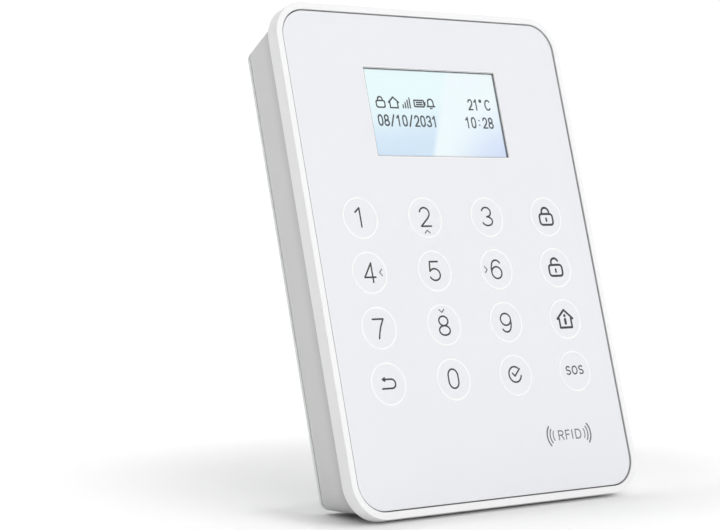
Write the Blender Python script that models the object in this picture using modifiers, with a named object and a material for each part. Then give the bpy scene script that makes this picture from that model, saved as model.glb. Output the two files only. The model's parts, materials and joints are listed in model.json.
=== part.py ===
"""Alarm keypad panel: touch front, tapered housing, wall plate and fold-out desk leg.

The panel is built upright in its own frame (X to the right, Y from the front face towards the back,
Z up along the panel, origin at the middle of the front rim) and is then leaned back on an empty, the
way it stands on a desk. Lengths are in millimetres and become metres through MM.
"""
import math

import bmesh
import bpy
from mathutils import Matrix, Vector

MM = 0.001

# Driving dimensions of the whole panel.
LEAN = math.radians(15.83)
FRAME_WIDTH = 123.0
FRAME_HEIGHT = 171.3
FRAME_RADIUS = 12.3
FRAME_DEPTH = 5.4
RIM = 2.35
GAP = 0.3

# The rear housing and wall plate taper together, from the frame's back to the wall.
TAPER_START_INSET = 2.1
TAPER_END_INSET = 7.7
TAPER_START_RADIUS = 9.2
TAPER_END_RADIUS = 3.2
BACK = 29.2
PLATE_THICKNESS = 1.9
HOUSING_BACK = BACK - PLATE_THICKNESS - GAP
WALL = 2.2

# Front stack, from the touch surface inwards.
PANEL_FRONT = 0.45
PANEL_BACK = 2.5
TOUCH_GAP = 0.4
LEDGE_FRONT = 3.7
GRAPHIC_X = 0.4
KEY_PITCH_X = 27.0
KEY_PITCH_Z = 18.3
KEYS_CENTRE_Z = -15.95
WINDOW_WIDTH = 56.9
WINDOW_HEIGHT = 30.5
WINDOW_Z = 48.85
LENS_BACK = 0.85
DISPLAY_FRONT = 1.15

# Circuit board and the posts that carry it.
BOARD_FRONT = 11.0
BOARD_BACK = 12.6
BOARD_HALF_WIDTH = 45.0
BOARD_TOP = 70.0
BOARD_BOTTOM = -34.0
BOARD_POSTS = [(-41.0, 66.0), (41.0, 66.0), (-41.0, -30.0), (41.0, -30.0)]
CORNER_BOSSES = [(-49.0, 73.0), (49.0, 73.0), (-49.0, -73.0), (49.0, -73.0)]

# Wall plate hooks, wall screw holes and the travel that frees the plate.
HOOKS = [(-30.0, 52.0), (30.0, 52.0), (-30.0, -60.0), (30.0, -60.0)]
HOOK_WIDTH = 8.0
HOOK_TOE = 5.0
WALL_HOLES = [(-42.0, 66.0), (42.0, 66.0), (-42.0, -66.0), (42.0, -66.0)]
PLATE_TRAVEL = 6.0

# Desk leg: hinge axis and the leg's own sizes.
LEG_Y = 27.4
LEG_Z = -20.0
LEG_HALF_WIDTH = 15.0
LEG_THICKNESS = 1.8
LEG_HEEL = 4.0
LEG_END = -53.7
LEG_INNER = -0.05
PAD_END = -57.6
PAD_ROUND = 0.9
BARREL_RADIUS = 1.7
PIN_RADIUS = 0.8

# Controls.
TAMPER_Z = 30.0
TAMPER_TRAVEL = 1.5
SWITCH_Z = 4.5
SWITCH_TRAVEL = 3.0
USB_Z = -19.5


# ------------------------------------------------------------------ scene
for old in list(bpy.data.objects):
    bpy.data.objects.remove(old)
parts = bpy.data.collections.new("alarm_keypad_panel")
cutters = bpy.data.collections.new("cutters")
bpy.context.scene.collection.children.link(parts)
bpy.context.scene.collection.children.link(cutters)

panel_axis = bpy.data.objects.new("panel_axis", None)
panel_axis.rotation_euler.x = -LEAN
parts.objects.link(panel_axis)


def material(name, colour, roughness, metallic=0.0, alpha=1.0):
    """A Principled material with one colour."""
    mat = bpy.data.materials.new(name)
    mat.use_nodes = True
    shader = mat.node_tree.nodes["Principled BSDF"]
    shader.inputs["Base Color"].default_value = (*colour, 1.0)
    shader.inputs["Roughness"].default_value = roughness
    shader.inputs["Metallic"].default_value = metallic
    shader.inputs["Alpha"].default_value = alpha
    return mat


RIM_WHITE = material("rim_white", (0.90, 0.90, 0.91), 0.35)
SHELL_WHITE = material("shell_white", (0.78, 0.79, 0.79), 0.55)
ACRYLIC = material("acrylic_white", (0.84, 0.85, 0.88), 0.12)
LENS = material("clear_lens", (0.9, 0.95, 0.97), 0.05, 0.0, 0.3)
DISPLAY = material("display_glass", (0.72, 0.86, 0.95), 0.1)
DIFFUSER = material("diffuser", (0.9, 0.9, 0.88), 0.4)
FOAM = material("foam_tape", (0.12, 0.12, 0.12), 0.9)
BOARD = material("circuit_board", (0.03, 0.22, 0.1), 0.45)
CHIP = material("chip_black", (0.03, 0.03, 0.03), 0.5)
COPPER = material("copper", (0.75, 0.38, 0.2), 0.3, 1.0)
STEEL = material("steel", (0.62, 0.62, 0.64), 0.3, 1.0)
RIBBON = material("flat_cable", (0.75, 0.5, 0.15), 0.4)
CELL = material("battery_wrap", (0.35, 0.38, 0.42), 0.35)
RUBBER = material("rubber", (0.1, 0.1, 0.1), 0.8)
BLACK_PLASTIC = material("black_plastic", (0.06, 0.06, 0.06), 0.45)


# ------------------------------------------------------------------ building blocks
def place(name, mesh, parent, mat=None):
    """Make an object of a mesh in the panel's frame, as a part or, without a material, a cutter."""
    obj = bpy.data.objects.new(name, mesh)
    obj.parent = parent
    if mat is None:
        cutters.objects.link(obj)
        obj.hide_render = True
        obj.display_type = "WIRE"
    else:
        parts.objects.link(obj)
        mesh.materials.append(mat)
    return obj


def mesh_of(name, bm):
    """Turn a bmesh in millimetres into a mesh in metres."""
    bmesh.ops.scale(bm, vec=(MM, MM, MM), verts=bm.verts)
    bmesh.ops.recalc_face_normals(bm, faces=bm.faces)
    mesh = bpy.data.meshes.new(name)
    bm.to_mesh(mesh)
    bm.free()
    return mesh


def box(name, x, y, z, mat=None, radius=0.0, steps=5, round_axis="Y", parent=panel_axis):
    """A box between (low, high) pairs, its edges along round_axis rounded to a radius."""
    bm = bmesh.new()
    bmesh.ops.create_cube(bm, size=1.0)
    size = Vector((x[1] - x[0], y[1] - y[0], z[1] - z[0]))
    middle = Vector((x[1] + x[0], y[1] + y[0], z[1] + z[0])) / 2
    bmesh.ops.scale(bm, vec=size, verts=bm.verts)
    bmesh.ops.translate(bm, vec=middle, verts=bm.verts)
    if radius:
        index = "XYZ".index(round_axis)
        edges = [e for e in bm.edges if abs((e.verts[0].co - e.verts[1].co)[index]) > size[index] / 2]
        bmesh.ops.bevel(bm, geom=edges, offset=radius, segments=steps, profile=0.5, affect="EDGES")
    return place(name, mesh_of(name, bm), parent, mat)


def slab(name, width, height, radius, y, mat=None, centre=(0.0, 0.0), steps=6):
    """A rounded rectangle facing the front, centred at (x, z), between two depths."""
    x = (centre[0] - width / 2, centre[0] + width / 2)
    z = (centre[1] - height / 2, centre[1] + height / 2)
    return box(name, x, y, z, mat, radius, steps)


def rod(name, centre, radius, span, mat=None, axis="Y", sides=20, parent=panel_axis):
    """A cylinder along X or Y through centre (the other two coordinates), between span's ends."""
    bm = bmesh.new()
    bmesh.ops.create_cone(bm, cap_ends=True, segments=sides, radius1=radius, radius2=radius,
                          depth=span[1] - span[0])
    middle = (span[0] + span[1]) / 2
    turned = "X" if axis == "Y" else "Y"
    bmesh.ops.rotate(bm, verts=bm.verts, matrix=Matrix.Rotation(math.pi / 2, 3, turned))
    where = (centre[0], middle, centre[1]) if axis == "Y" else (middle, centre[0], centre[1])
    bmesh.ops.translate(bm, vec=where, verts=bm.verts)
    return place(name, mesh_of(name, bm), parent, mat)


def combine(obj, tool, operation):
    """Cut or join a hidden tool solid into an object."""
    mod = obj.modifiers.new(f"{operation.lower()}_{tool.name}", "BOOLEAN")
    mod.operation = operation
    mod.solver = "EXACT"
    mod.object = tool


def cut(obj, tool):
    combine(obj, tool, "DIFFERENCE")


def join(obj, tool):
    combine(obj, tool, "UNION")


def inset_at(depth):
    """How far the tapered sides stand in from the frame's outline at a depth."""
    share = (depth - FRAME_DEPTH) / (BACK - FRAME_DEPTH)
    return TAPER_START_INSET + share * (TAPER_END_INSET - TAPER_START_INSET)


def taper_ring(bm, depth, wall, steps=6):
    """One rounded rectangle of the tapered outline at a depth, a wall's thickness inside it."""
    share = (depth - FRAME_DEPTH) / (BACK - FRAME_DEPTH)
    outer = TAPER_START_RADIUS + share * (TAPER_END_RADIUS - TAPER_START_RADIUS)
    half_x = FRAME_WIDTH / 2 - inset_at(depth) - outer
    half_z = FRAME_HEIGHT / 2 - inset_at(depth) - outer
    radius = outer - wall
    ring = []
    for corner, (side_x, side_z) in enumerate([(1, 1), (-1, 1), (-1, -1), (1, -1)]):
        for step in range(steps + 1):
            angle = math.pi / 2 * (corner + step / steps)
            x = side_x * half_x + radius * math.cos(angle)
            z = side_z * half_z + radius * math.sin(angle)
            ring.append(bm.verts.new((x, depth, z)))
    return ring


def tapered(name, front, back, mat=None, wall=0.0):
    """A solid loft between the tapered outline at two depths."""
    bm = bmesh.new()
    near = taper_ring(bm, front, wall)
    far = taper_ring(bm, back, wall)
    count = len(near)
    for i in range(count):
        j = (i + 1) % count
        bm.faces.new((near[i], near[j], far[j], far[i]))
    bm.faces.new(near)
    bm.faces.new(far)
    return place(name, mesh_of(name, bm), panel_axis, mat)


def strip(name, points, x, thickness, mat):
    """A flat cable: a line in the Y-Z plane, widened along X and thickened."""
    bm = bmesh.new()
    rows = [[bm.verts.new((side, y, z)) for side in x] for y, z in points]
    for first, second in zip(rows, rows[1:]):
        bm.faces.new((first[0], first[1], second[1], second[0]))
    obj = place(name, mesh_of(name, bm), panel_axis, mat)
    solid = obj.modifiers.new("thickness", "SOLIDIFY")
    solid.thickness = thickness * MM
    solid.offset = 0.0
    return obj


def loop_points(y_near, y_far, z_ends, z_turn, steps=8):
    """Two straight runs joined by a half-round turn, as (y, z) points."""
    middle = (y_near + y_far) / 2
    radius = (y_far - y_near) / 2
    side = 1 if z_turn > z_ends else -1
    turn = [(middle - radius * math.cos(math.pi * i / steps),
             z_turn + side * radius * math.sin(math.pi * i / steps)) for i in range(steps + 1)]
    return [(y_near, z_ends)] + turn + [(y_far, z_ends)]


def wire(name, points, radius, mat):
    """A round wire through points, as a curve with filled caps."""
    curve = bpy.data.curves.new(name, "CURVE")
    curve.dimensions = "3D"
    curve.bevel_depth = radius * MM
    curve.bevel_resolution = 2
    curve.use_fill_caps = True
    spline = curve.splines.new("POLY")
    spline.points.add(len(points) - 1)
    for point, where in zip(spline.points, points):
        point.co = (*(Vector(where) * MM), 1.0)
    obj = bpy.data.objects.new(name, curve)
    obj.parent = panel_axis
    parts.objects.link(obj)
    curve.materials.append(mat)
    return obj


def screw(name, x, z, head_y, head_radius, shank_radius, tip_y):
    """A pan-head screw whose shank runs from the head towards tip_y."""
    away = 1.0 if head_y[0] > tip_y else -1.0
    root = head_y[0] if away > 0 else head_y[1]
    head = rod(name, (x, z), head_radius, head_y, STEEL)
    shank = rod(f"{name}_shank", (x, z), shank_radius, sorted((tip_y, root + 0.4 * away)), sides=12)
    slot_y = (head_y[1] - 0.7, head_y[1] + 1) if away > 0 else (head_y[0] - 1, head_y[0] + 0.7)
    slot = box(f"{name}_slot", (x - 0.4, x + 0.4), slot_y, (z - head_radius - 1, z + head_radius + 1))
    join(head, shank)
    cut(head, slot)
    return head


# ------------------------------------------------------------------ front frame and touch front
def make_front_frame():
    """Rim and side band with an inner ledge for the acrylic and four screw bosses."""
    frame = slab("front_frame", FRAME_WIDTH, FRAME_HEIGHT, FRAME_RADIUS, (0.0, FRAME_DEPTH), RIM_WHITE,
                 steps=8)
    cut(frame, slab("frame_mouth", FRAME_WIDTH - 2 * RIM, FRAME_HEIGHT - 2 * RIM, FRAME_RADIUS - RIM,
                    (-1.0, LEDGE_FRONT), steps=8))
    cut(frame, slab("frame_opening", 110.0, 158.0, 24.0, (-2.0, FRAME_DEPTH + 1), steps=8))
    for number, (x, z) in enumerate(CORNER_BOSSES):
        join(frame, rod(f"boss_{number}", (x, z), 3.2, (4.5, 20.0)))
        cut(frame, rod(f"boss_pilot_{number}", (x, z), 1.55, (8.0, 21.0), sides=12))


def make_touch_front():
    """Acrylic with its display cut-out, the lens, and the tape ring that holds the acrylic."""
    width = FRAME_WIDTH - 2 * (RIM + TOUCH_GAP)
    height = FRAME_HEIGHT - 2 * (RIM + TOUCH_GAP)
    panel = slab("touch_panel", width, height, FRAME_RADIUS - RIM - TOUCH_GAP, (PANEL_FRONT, PANEL_BACK),
                 ACRYLIC, steps=8)
    window = (GRAPHIC_X, WINDOW_Z)
    cut(panel, slab("window_cutter", WINDOW_WIDTH, WINDOW_HEIGHT, 0.0, (0.0, 4.0), centre=window))
    slab("display_window", WINDOW_WIDTH - 2 * GAP, WINDOW_HEIGHT - 2 * GAP, 0.0,
         (PANEL_FRONT + 0.1, LENS_BACK), LENS, window)
    tape = slab("panel_adhesive", width - 2.0, height - 2.0, 8.0, (2.8, 3.4), FOAM)
    cut(tape, slab("tape_opening", 111.5, 159.5, 6.0, (2.0, 4.0)))


# ------------------------------------------------------------------ electronics
def make_touch_electronics():
    """Light guide, key board and the reader's antenna board with its coil."""
    guide = slab("light_guide", 106.0, 72.0, 3.0, (2.8, 3.5), DIFFUSER, (GRAPHIC_X, KEYS_CENTRE_Z))
    for column in range(4):
        for row in range(4):
            x = GRAPHIC_X + (column - 1.5) * KEY_PITCH_X
            z = KEYS_CENTRE_Z + (row - 1.5) * KEY_PITCH_Z
            cut(guide, rod(f"guide_hole_{column}_{row}", (x, z), 4.5, (2.0, 4.0), sides=12))
    slab("touch_board", 106.0, 72.0, 3.0, (3.8, 4.8), BOARD, (0.0, -15.0))
    slab("rfid_board", 38.0, 23.0, 2.0, (2.8, 3.4), BOARD, (32.0, -64.7))
    coil = slab("rfid_coil", 30.0, 20.0, 4.0, (3.7, 4.1), COPPER, (31.0, -62.5))
    cut(coil, slab("coil_opening", 24.0, 14.0, 2.0, (3.0, 5.0), centre=(31.0, -62.5)))


def make_display():
    """Display glass, its lit face raised into the window, and backlight in a holder with its cable."""
    centre = (GRAPHIC_X, WINDOW_Z)
    glass = slab("lcd_glass", 66.8, 38.8, 0.0, (2.9, 4.7), DISPLAY, centre)
    join(glass, slab("lcd_raised_face", WINDOW_WIDTH - 2 * GAP, WINDOW_HEIGHT - 2 * GAP, 0.0,
                     (DISPLAY_FRONT, 3.5), centre=centre))
    slab("lcd_backlight", 66.8, 38.8, 0.0, (5.0, 7.6), DIFFUSER, centre)
    holder = slab("lcd_holder", 72.0, 44.0, 2.0, (2.8, BOARD_FRONT - GAP), BLACK_PLASTIC, centre)
    cut(holder, slab("holder_opening", 67.4, 39.4, 0.0, (0.0, 12.0), centre=centre))
    strip("lcd_ribbon", loop_points(3.9, 10.4, 26.2, 25.2), (-12.0, 12.0), 0.3, RIBBON)


def make_main_board():
    """Main board with its parts, the flat cable from the key board and the board's screws."""
    middle = (0.0, (BOARD_TOP + BOARD_BOTTOM) / 2)
    board = slab("main_board", 2 * BOARD_HALF_WIDTH, BOARD_TOP - BOARD_BOTTOM, 2.0,
                 (BOARD_FRONT, BOARD_BACK), BOARD, middle)
    back = BOARD_BACK + GAP
    for number, (x, z) in enumerate(BOARD_POSTS):
        cut(board, rod(f"board_hole_{number}", (x, z), 1.5, (10.0, 14.0), sides=12))
        screw(f"board_screw_{number + 1}", x, z, (BOARD_FRONT - 1.9, BOARD_FRONT - GAP), 2.4, 1.0, 18.5)
    slab("processor_chip", 12.0, 12.0, 0.0, (9.7, BOARD_FRONT - GAP), CHIP, (0.0, -6.0))
    strip("keypad_ribbon", loop_points(5.3, 10.5, -18.0, -27.0), (-34.0, -16.0), 0.3, RIBBON)
    slab("radio_module", 18.0, 16.0, 0.5, (back, back + 3.5), STEEL, (-23.0, 52.0), steps=2)
    wire("antenna_wire", [(-13.0, 15.0, 58.0), (-9.0, 15.0, 63.0), (-4.0, 15.0, 70.0),
                          (1.0, 15.0, 73.5), (8.0, 15.0, 74.5), (36.0, 15.0, 74.5)], 0.5, COPPER)
    buzzer = rod("buzzer", (33.0, 48.0), 7.0, (back, back + 7.0), CHIP, sides=28)
    cut(buzzer, rod("buzzer_mouth", (33.0, 48.0), 1.0, (back + 5.0, back + 8.0), sides=12))


def make_battery():
    """Flat cell in its tray, with the plug on the board and the lead between them."""
    slab("battery_pack", 50.0, 34.0, 3.0, (13.0, 21.0), CELL, (-13.0, -56.0))
    tray = slab("battery_tray", 55.0, 38.8, 3.0, (17.0, 22.6), BLACK_PLASTIC, (-13.0, -56.0))
    cut(tray, slab("tray_hollow", 50.8, 34.8, 3.2, (16.0, 21.3), centre=(-13.0, -56.0)))
    box("battery_connector", (-24.0, -16.0), (BOARD_BACK + GAP, 17.9), (-31.0, -26.0), DIFFUSER)
    wire("battery_lead", [(-20.0, 15.3, -38.7), (-20.0, 15.3, -36.5), (-20.0, 15.4, -34.0),
                          (-20.0, 15.4, -31.4)], 0.9, RUBBER)


def make_controls():
    """Charging socket and power switch in the right side, tamper switch at the back."""
    back = BOARD_BACK + GAP
    socket = box("usb_socket", (42.0, 56.8), (back, back + 3.4), (USB_Z - 4.5, USB_Z + 4.5), STEEL,
                 radius=1.2, round_axis="X")
    cut(socket, box("usb_mouth", (50.0, 58.0), (back + 0.5, back + 2.9), (USB_Z - 4.0, USB_Z + 4.0),
                    radius=0.8, round_axis="X"))
    switch = box("power_switch_body", (44.0, 53.5), (back, 17.3), (SWITCH_Z - 4.5, SWITCH_Z + 4.5),
                 BLACK_PLASTIC)
    low = SWITCH_Z - SWITCH_TRAVEL / 2
    high = SWITCH_Z + SWITCH_TRAVEL / 2
    cut(switch, box("switch_groove", (50.0, 54.0), (14.2, 16.0), (low - 1.1, high + 1.1)))
    slider = box("power_switch_slider", (53.8, 58.4), (14.2, 16.0), (low - 1.3, low + 1.3), BLACK_PLASTIC)
    join(slider, box("slider_tongue", (51.0, 54.5), (14.6, 15.6), (low - 0.7, low + 0.7)))
    body = box("tamper_switch_body", (-4.0, 4.0), (back, 18.4), (TAMPER_Z - 4.0, TAMPER_Z + 4.0),
               BLACK_PLASTIC)
    cut(body, rod("tamper_bore", (0.0, TAMPER_Z), 1.8, (14.3, 19.0), sides=16))
    plunger = rod("tamper_plunger", (0.0, TAMPER_Z), 2.0, (24.0, BACK + TAMPER_TRAVEL), DIFFUSER)
    join(plunger, rod("plunger_flange", (0.0, TAMPER_Z), 3.5, (22.6, 24.4)))
    join(plunger, rod("plunger_stem", (0.0, TAMPER_Z), 1.4, (16.2, 23.0), sides=16))
    turns = 2.5
    count = 36
    spring = []
    for i in range(count + 1):
        angle = 2 * math.pi * turns * i / count
        depth = 19.0 + 3.0 * i / count
        spring.append((2.6 * math.cos(angle), depth, TAMPER_Z + 2.6 * math.sin(angle)))
    wire("tamper_spring", spring, 0.25, STEEL)


# ------------------------------------------------------------------ rear housing
def make_rear_housing():
    """Tapered shell with its posts, side openings, hook slots and the leg's hinge pocket."""
    shell = tapered("rear_housing", FRAME_DEPTH + GAP, HOUSING_BACK, SHELL_WHITE)
    cut(shell, tapered("housing_hollow", FRAME_DEPTH - 1.0, HOUSING_BACK - WALL, wall=WALL))
    join(shell, box("hinge_pad", (-24.5, 24.5), (23.6, HOUSING_BACK - 1.0), (-30.5, -13.0)))
    cut(shell, box("hinge_pocket", (-22.6, 22.6), (25.4, HOUSING_BACK + 1),
                   (LEG_Z - PLATE_TRAVEL - 2.6, LEG_Z + LEG_HEEL + 0.6)))
    for number, (x, z) in enumerate(BOARD_POSTS):
        join(shell, rod(f"post_{number}", (x, z), 3.0, (BOARD_BACK + GAP, HOUSING_BACK - 1)))
        cut(shell, rod(f"post_pilot_{number}", (x, z), 1.35, (12.0, 20.0), sides=12))
    for number, (x, z) in enumerate(CORNER_BOSSES):
        join(shell, rod(f"screw_post_{number}", (x, z), 4.3, (20.3, HOUSING_BACK - 1)))
        cut(shell, rod(f"screw_counterbore_{number}", (x, z), 3.2, (22.6, HOUSING_BACK + 1)))
        cut(shell, rod(f"screw_hole_{number}", (x, z), 1.6, (19.0, 24.0), sides=12))
        screw(f"housing_screw_{number + 1}", x, z, (22.9, 24.9), 2.8, 1.25, 10.0)
    for number, (x, z) in enumerate(HOOKS):
        cut(shell, box(f"hook_slot_{number}", (x - 4.5, x + 4.5), (22.0, HOUSING_BACK + 1),
                       (z - PLATE_TRAVEL - 1.5, z + 1.5)))
    cut(shell, rod("tamper_hole", (0.0, TAMPER_Z), 2.3, (22.0, HOUSING_BACK + 1)))
    cut(shell, box("usb_opening", (50.0, 62.0), (12.6, 16.6), (USB_Z - 4.9, USB_Z + 4.9)))
    low = SWITCH_Z - SWITCH_TRAVEL / 2
    high = SWITCH_Z + SWITCH_TRAVEL / 2
    cut(shell, box("switch_slot", (53.7, 62.0), (13.8, 16.4), (low - 1.7, high + 1.7)))
    for number in range(4):
        z = 42.0 + 4.0 * number
        cut(shell, box(f"sound_slot_{number}", (50.0, 62.0), (11.5, 19.0), (z - 0.8, z + 0.8)))


# ------------------------------------------------------------------ wall plate and desk leg
def make_wall_plate():
    """Wall plate with hooks, screw holes, the tamper slot, the leg's notch and its hinge ears."""
    plate = tapered("wall_plate", HOUSING_BACK + GAP, BACK, SHELL_WHITE)
    for number, (x, z) in enumerate(HOOKS):
        wide = (x - HOOK_WIDTH / 2, x + HOOK_WIDTH / 2)
        join(plate, box(f"hook_stem_{number}", wide, (23.0, BACK - 1), (z - 1.0, z + 1.0)))
        join(plate, box(f"hook_toe_{number}", wide, (23.0, 24.5), (z - 0.8, z + HOOK_TOE)))
    for number, (x, z) in enumerate(WALL_HOLES):
        cut(plate, rod(f"wall_hole_{number}", (x, z), 2.2, (26.0, 30.0)))
    cut(plate, box("tamper_slot", (-2.5, 2.5), (26.0, 30.0), (TAMPER_Z - 2.5, TAMPER_Z + PLATE_TRAVEL + 2.5),
                   radius=2.4, steps=5))
    notch = LEG_HALF_WIDTH + 0.4
    cut(plate, box("leg_notch", (-notch, notch), (26.0, 30.0), (-90.0, LEG_Z + LEG_HEEL + 0.4)))
    for side in (-1, 1):
        ear = rod(f"ear_{side}", (LEG_Y, LEG_Z), BARREL_RADIUS, sorted((side * notch, side * 22.0)), axis="X")
        bore = rod(f"ear_bore_{side}", (LEG_Y, LEG_Z), PIN_RADIUS + GAP, sorted((side * 14.0, side * 21.3)),
                   axis="X", sides=16)
        join(plate, ear)
        cut(plate, bore)
    rod("leg_pin", (LEG_Y, LEG_Z), PIN_RADIUS, (-21.0, 21.0), STEEL, axis="X", sides=16)


def open_angle():
    """How far the leg turns out from the plate when its pad stands level with the frame's heel."""
    floor = -(FRAME_HEIGHT / 2 * math.cos(LEAN) + FRAME_DEPTH * math.sin(LEAN))
    hinge = LEG_Z * math.cos(LEAN) - LEG_Y * math.sin(LEAN)
    pad_y = LEG_INNER + LEG_THICKNESS / 2
    pad_z = PAD_END + PAD_ROUND
    reach = math.hypot(pad_y, pad_z)
    swing = math.acos((hinge - floor - PAD_ROUND) / reach)
    return swing + LEAN - math.atan2(pad_y, -pad_z)


def make_leg():
    """Desk leg with its barrel, bore and rubber pad, turned out on the hinge axis."""
    leg_axis = bpy.data.objects.new("leg_axis", None)
    leg_axis.parent = panel_axis
    leg_axis.location = Vector((0.0, LEG_Y, LEG_Z)) * MM
    leg_axis.rotation_euler.x = open_angle()
    parts.objects.link(leg_axis)
    wide = (-LEG_HALF_WIDTH, LEG_HALF_WIDTH)
    thick = (LEG_INNER, LEG_INNER + LEG_THICKNESS)
    leg = box("stand_leg", wide, thick, (LEG_END, LEG_HEEL), SHELL_WHITE, parent=leg_axis)
    join(leg, rod("leg_barrel", (0.0, 0.0), BARREL_RADIUS, wide, axis="X", parent=leg_axis))
    cut(leg, rod("leg_bore", (0.0, 0.0), PIN_RADIUS + GAP, (-16.0, 16.0), axis="X", sides=16,
                 parent=leg_axis))
    bm = bmesh.new()
    bmesh.ops.create_cube(bm, size=1.0)
    bmesh.ops.scale(bm, vec=(2 * LEG_HALF_WIDTH, LEG_THICKNESS, LEG_END - GAP - PAD_END), verts=bm.verts)
    middle = (0.0, LEG_INNER + LEG_THICKNESS / 2, (LEG_END - GAP + PAD_END) / 2)
    bmesh.ops.translate(bm, vec=middle, verts=bm.verts)
    ends = [e for e in bm.edges if all(v.co.z < PAD_END + 0.1 for v in e.verts)
            and abs((e.verts[0].co - e.verts[1].co).x) > 1.0]
    bmesh.ops.bevel(bm, geom=ends, offset=PAD_ROUND - 0.02, segments=6, profile=0.5, affect="EDGES")
    place("foot_pad", mesh_of("foot_pad", bm), leg_axis, RUBBER)


def stand_on_origin():
    """Move the leaning panel so that its box stands on the origin, centred."""
    bpy.context.view_layer.update()
    graph = bpy.context.evaluated_depsgraph_get()
    corners = []
    for obj in parts.objects:
        if obj.type == "EMPTY":
            continue
        shape = obj.evaluated_get(graph)
        mesh = shape.to_mesh()
        corners.extend(shape.matrix_world @ vertex.co for vertex in mesh.vertices)
        shape.to_mesh_clear()
    low = [min(corner[axis] for corner in corners) for axis in range(3)]
    high = [max(corner[axis] for corner in corners) for axis in range(3)]
    panel_axis.location = (-(low[0] + high[0]) / 2, -(low[1] + high[1]) / 2, -low[2])


make_front_frame()
make_touch_front()
make_touch_electronics()
make_display()
make_main_board()
make_battery()
make_controls()
make_rear_housing()
make_wall_plate()
make_leg()
stand_on_origin()

for part in parts.objects:
    if part.type == "MESH":
        part.data.shade_smooth()
        part.data.set_sharp_from_angle(angle=math.radians(35))
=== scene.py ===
# %% [markdown]
# # Alarm keypad panel
#
# A white touch panel with sixteen ringed keys and a small lit display, in a thin moulded rim, on a
# tapered housing that leans back on a folding leg. The solids that fit and move come from the packed
# frame. This file makes what you see: the real edge roundings, the printed signs, the finishes of
# moulded plastic, acrylic, rubber and steel, and the studio around them.
#
# Every cell makes one thing, says how, and prints what it made.

import json
import math

import bmesh
import bpy
from mathutils import Matrix, Vector


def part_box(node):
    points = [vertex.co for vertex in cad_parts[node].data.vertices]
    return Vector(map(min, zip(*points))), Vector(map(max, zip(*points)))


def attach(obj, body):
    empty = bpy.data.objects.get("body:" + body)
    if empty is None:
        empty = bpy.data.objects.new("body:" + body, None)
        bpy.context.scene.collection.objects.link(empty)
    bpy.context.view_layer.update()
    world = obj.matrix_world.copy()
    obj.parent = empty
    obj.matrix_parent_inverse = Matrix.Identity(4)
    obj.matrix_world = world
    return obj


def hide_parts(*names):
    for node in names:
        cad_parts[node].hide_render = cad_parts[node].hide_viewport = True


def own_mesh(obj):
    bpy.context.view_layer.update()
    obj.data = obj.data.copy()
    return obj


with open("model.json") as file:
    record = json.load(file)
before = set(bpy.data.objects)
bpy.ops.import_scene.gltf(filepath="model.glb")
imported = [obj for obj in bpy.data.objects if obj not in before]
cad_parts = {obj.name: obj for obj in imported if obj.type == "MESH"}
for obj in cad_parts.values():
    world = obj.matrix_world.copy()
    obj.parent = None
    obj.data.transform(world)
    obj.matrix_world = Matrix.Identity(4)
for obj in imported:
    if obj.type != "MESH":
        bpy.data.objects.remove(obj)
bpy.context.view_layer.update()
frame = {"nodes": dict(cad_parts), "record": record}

# %% [markdown]
# ## A drawing board on the front face
#
# The panel leans, but every drawing on it is easier upright. So the pieces are drawn on a board: X to
# the right, Y up the panel, Z out of the touch face, in millimetres, with zero in the middle of the
# rim's front. The wall plate's mount gives the lean, and the front frame's box gives the place. A
# finished mesh is moved from the board into the room once, so its object stays at the origin.

# %% The drawing board
MM = 0.001
FRAME_WIDTH = 123.0
FRAME_HEIGHT = 171.3
FRAME_DEPTH = 5.4
FRAME_RADIUS = 12.3

OUT = -Vector(frame["record"]["mounts"][0]["axis"])
RIGHT = Vector((1.0, 0.0, 0.0))
UP = OUT.cross(RIGHT)
frame_low, frame_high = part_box("front_frame")
ORIGIN = Vector((
    (frame_low.x + frame_high.x) / 2,
    frame_low.y + FRAME_HEIGHT / 2 * MM * UP.y,
    frame_low.z + FRAME_HEIGHT / 2 * MM * UP.z + FRAME_DEPTH * MM * OUT.z,
))
BOARD = Matrix((
    (RIGHT.x, UP.x, OUT.x, ORIGIN.x),
    (RIGHT.y, UP.y, OUT.y, ORIGIN.y),
    (RIGHT.z, UP.z, OUT.z, ORIGIN.z),
    (0.0, 0.0, 0.0, 1.0),
)) @ Matrix.Scale(MM, 4)
TO_BOARD = BOARD.inverted()


def board_box(node):
    """A CAD node's lowest and highest corner on the drawing board."""
    points = [TO_BOARD @ vertex.co for vertex in frame["nodes"][node].data.vertices]
    low = Vector([min(point[axis] for point in points) for axis in range(3)])
    high = Vector([max(point[axis] for point in points) for axis in range(3)])
    return low, high


print("lean:", round(math.degrees(math.asin(OUT.z)), 2), "degrees, board at", tuple(ORIGIN))

# %% [markdown]
# ## Camera
#
# A product shot from the left at about the height of the display, with a long lens so that the
# panel's edges stay nearly parallel. The place is measured from the middle of the key grid, in key
# widths, because the sixteen rings are the best ruler on the object.

# %% Camera
KEY_X = 27.0
KEY_Y = 18.3
GRAPHIC_X = 0.4
KEYS_Y = -15.3
AIM_Y = -15.95
PANEL_FRONT = 0.45
CAMERA_AWAY = (-16.314, -19.286, 1.236)
CAMERA_AZIMUTH = math.radians(37.118)
CAMERA_TILT = math.radians(-1.863)
CAMERA_LENS = 102.16

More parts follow.
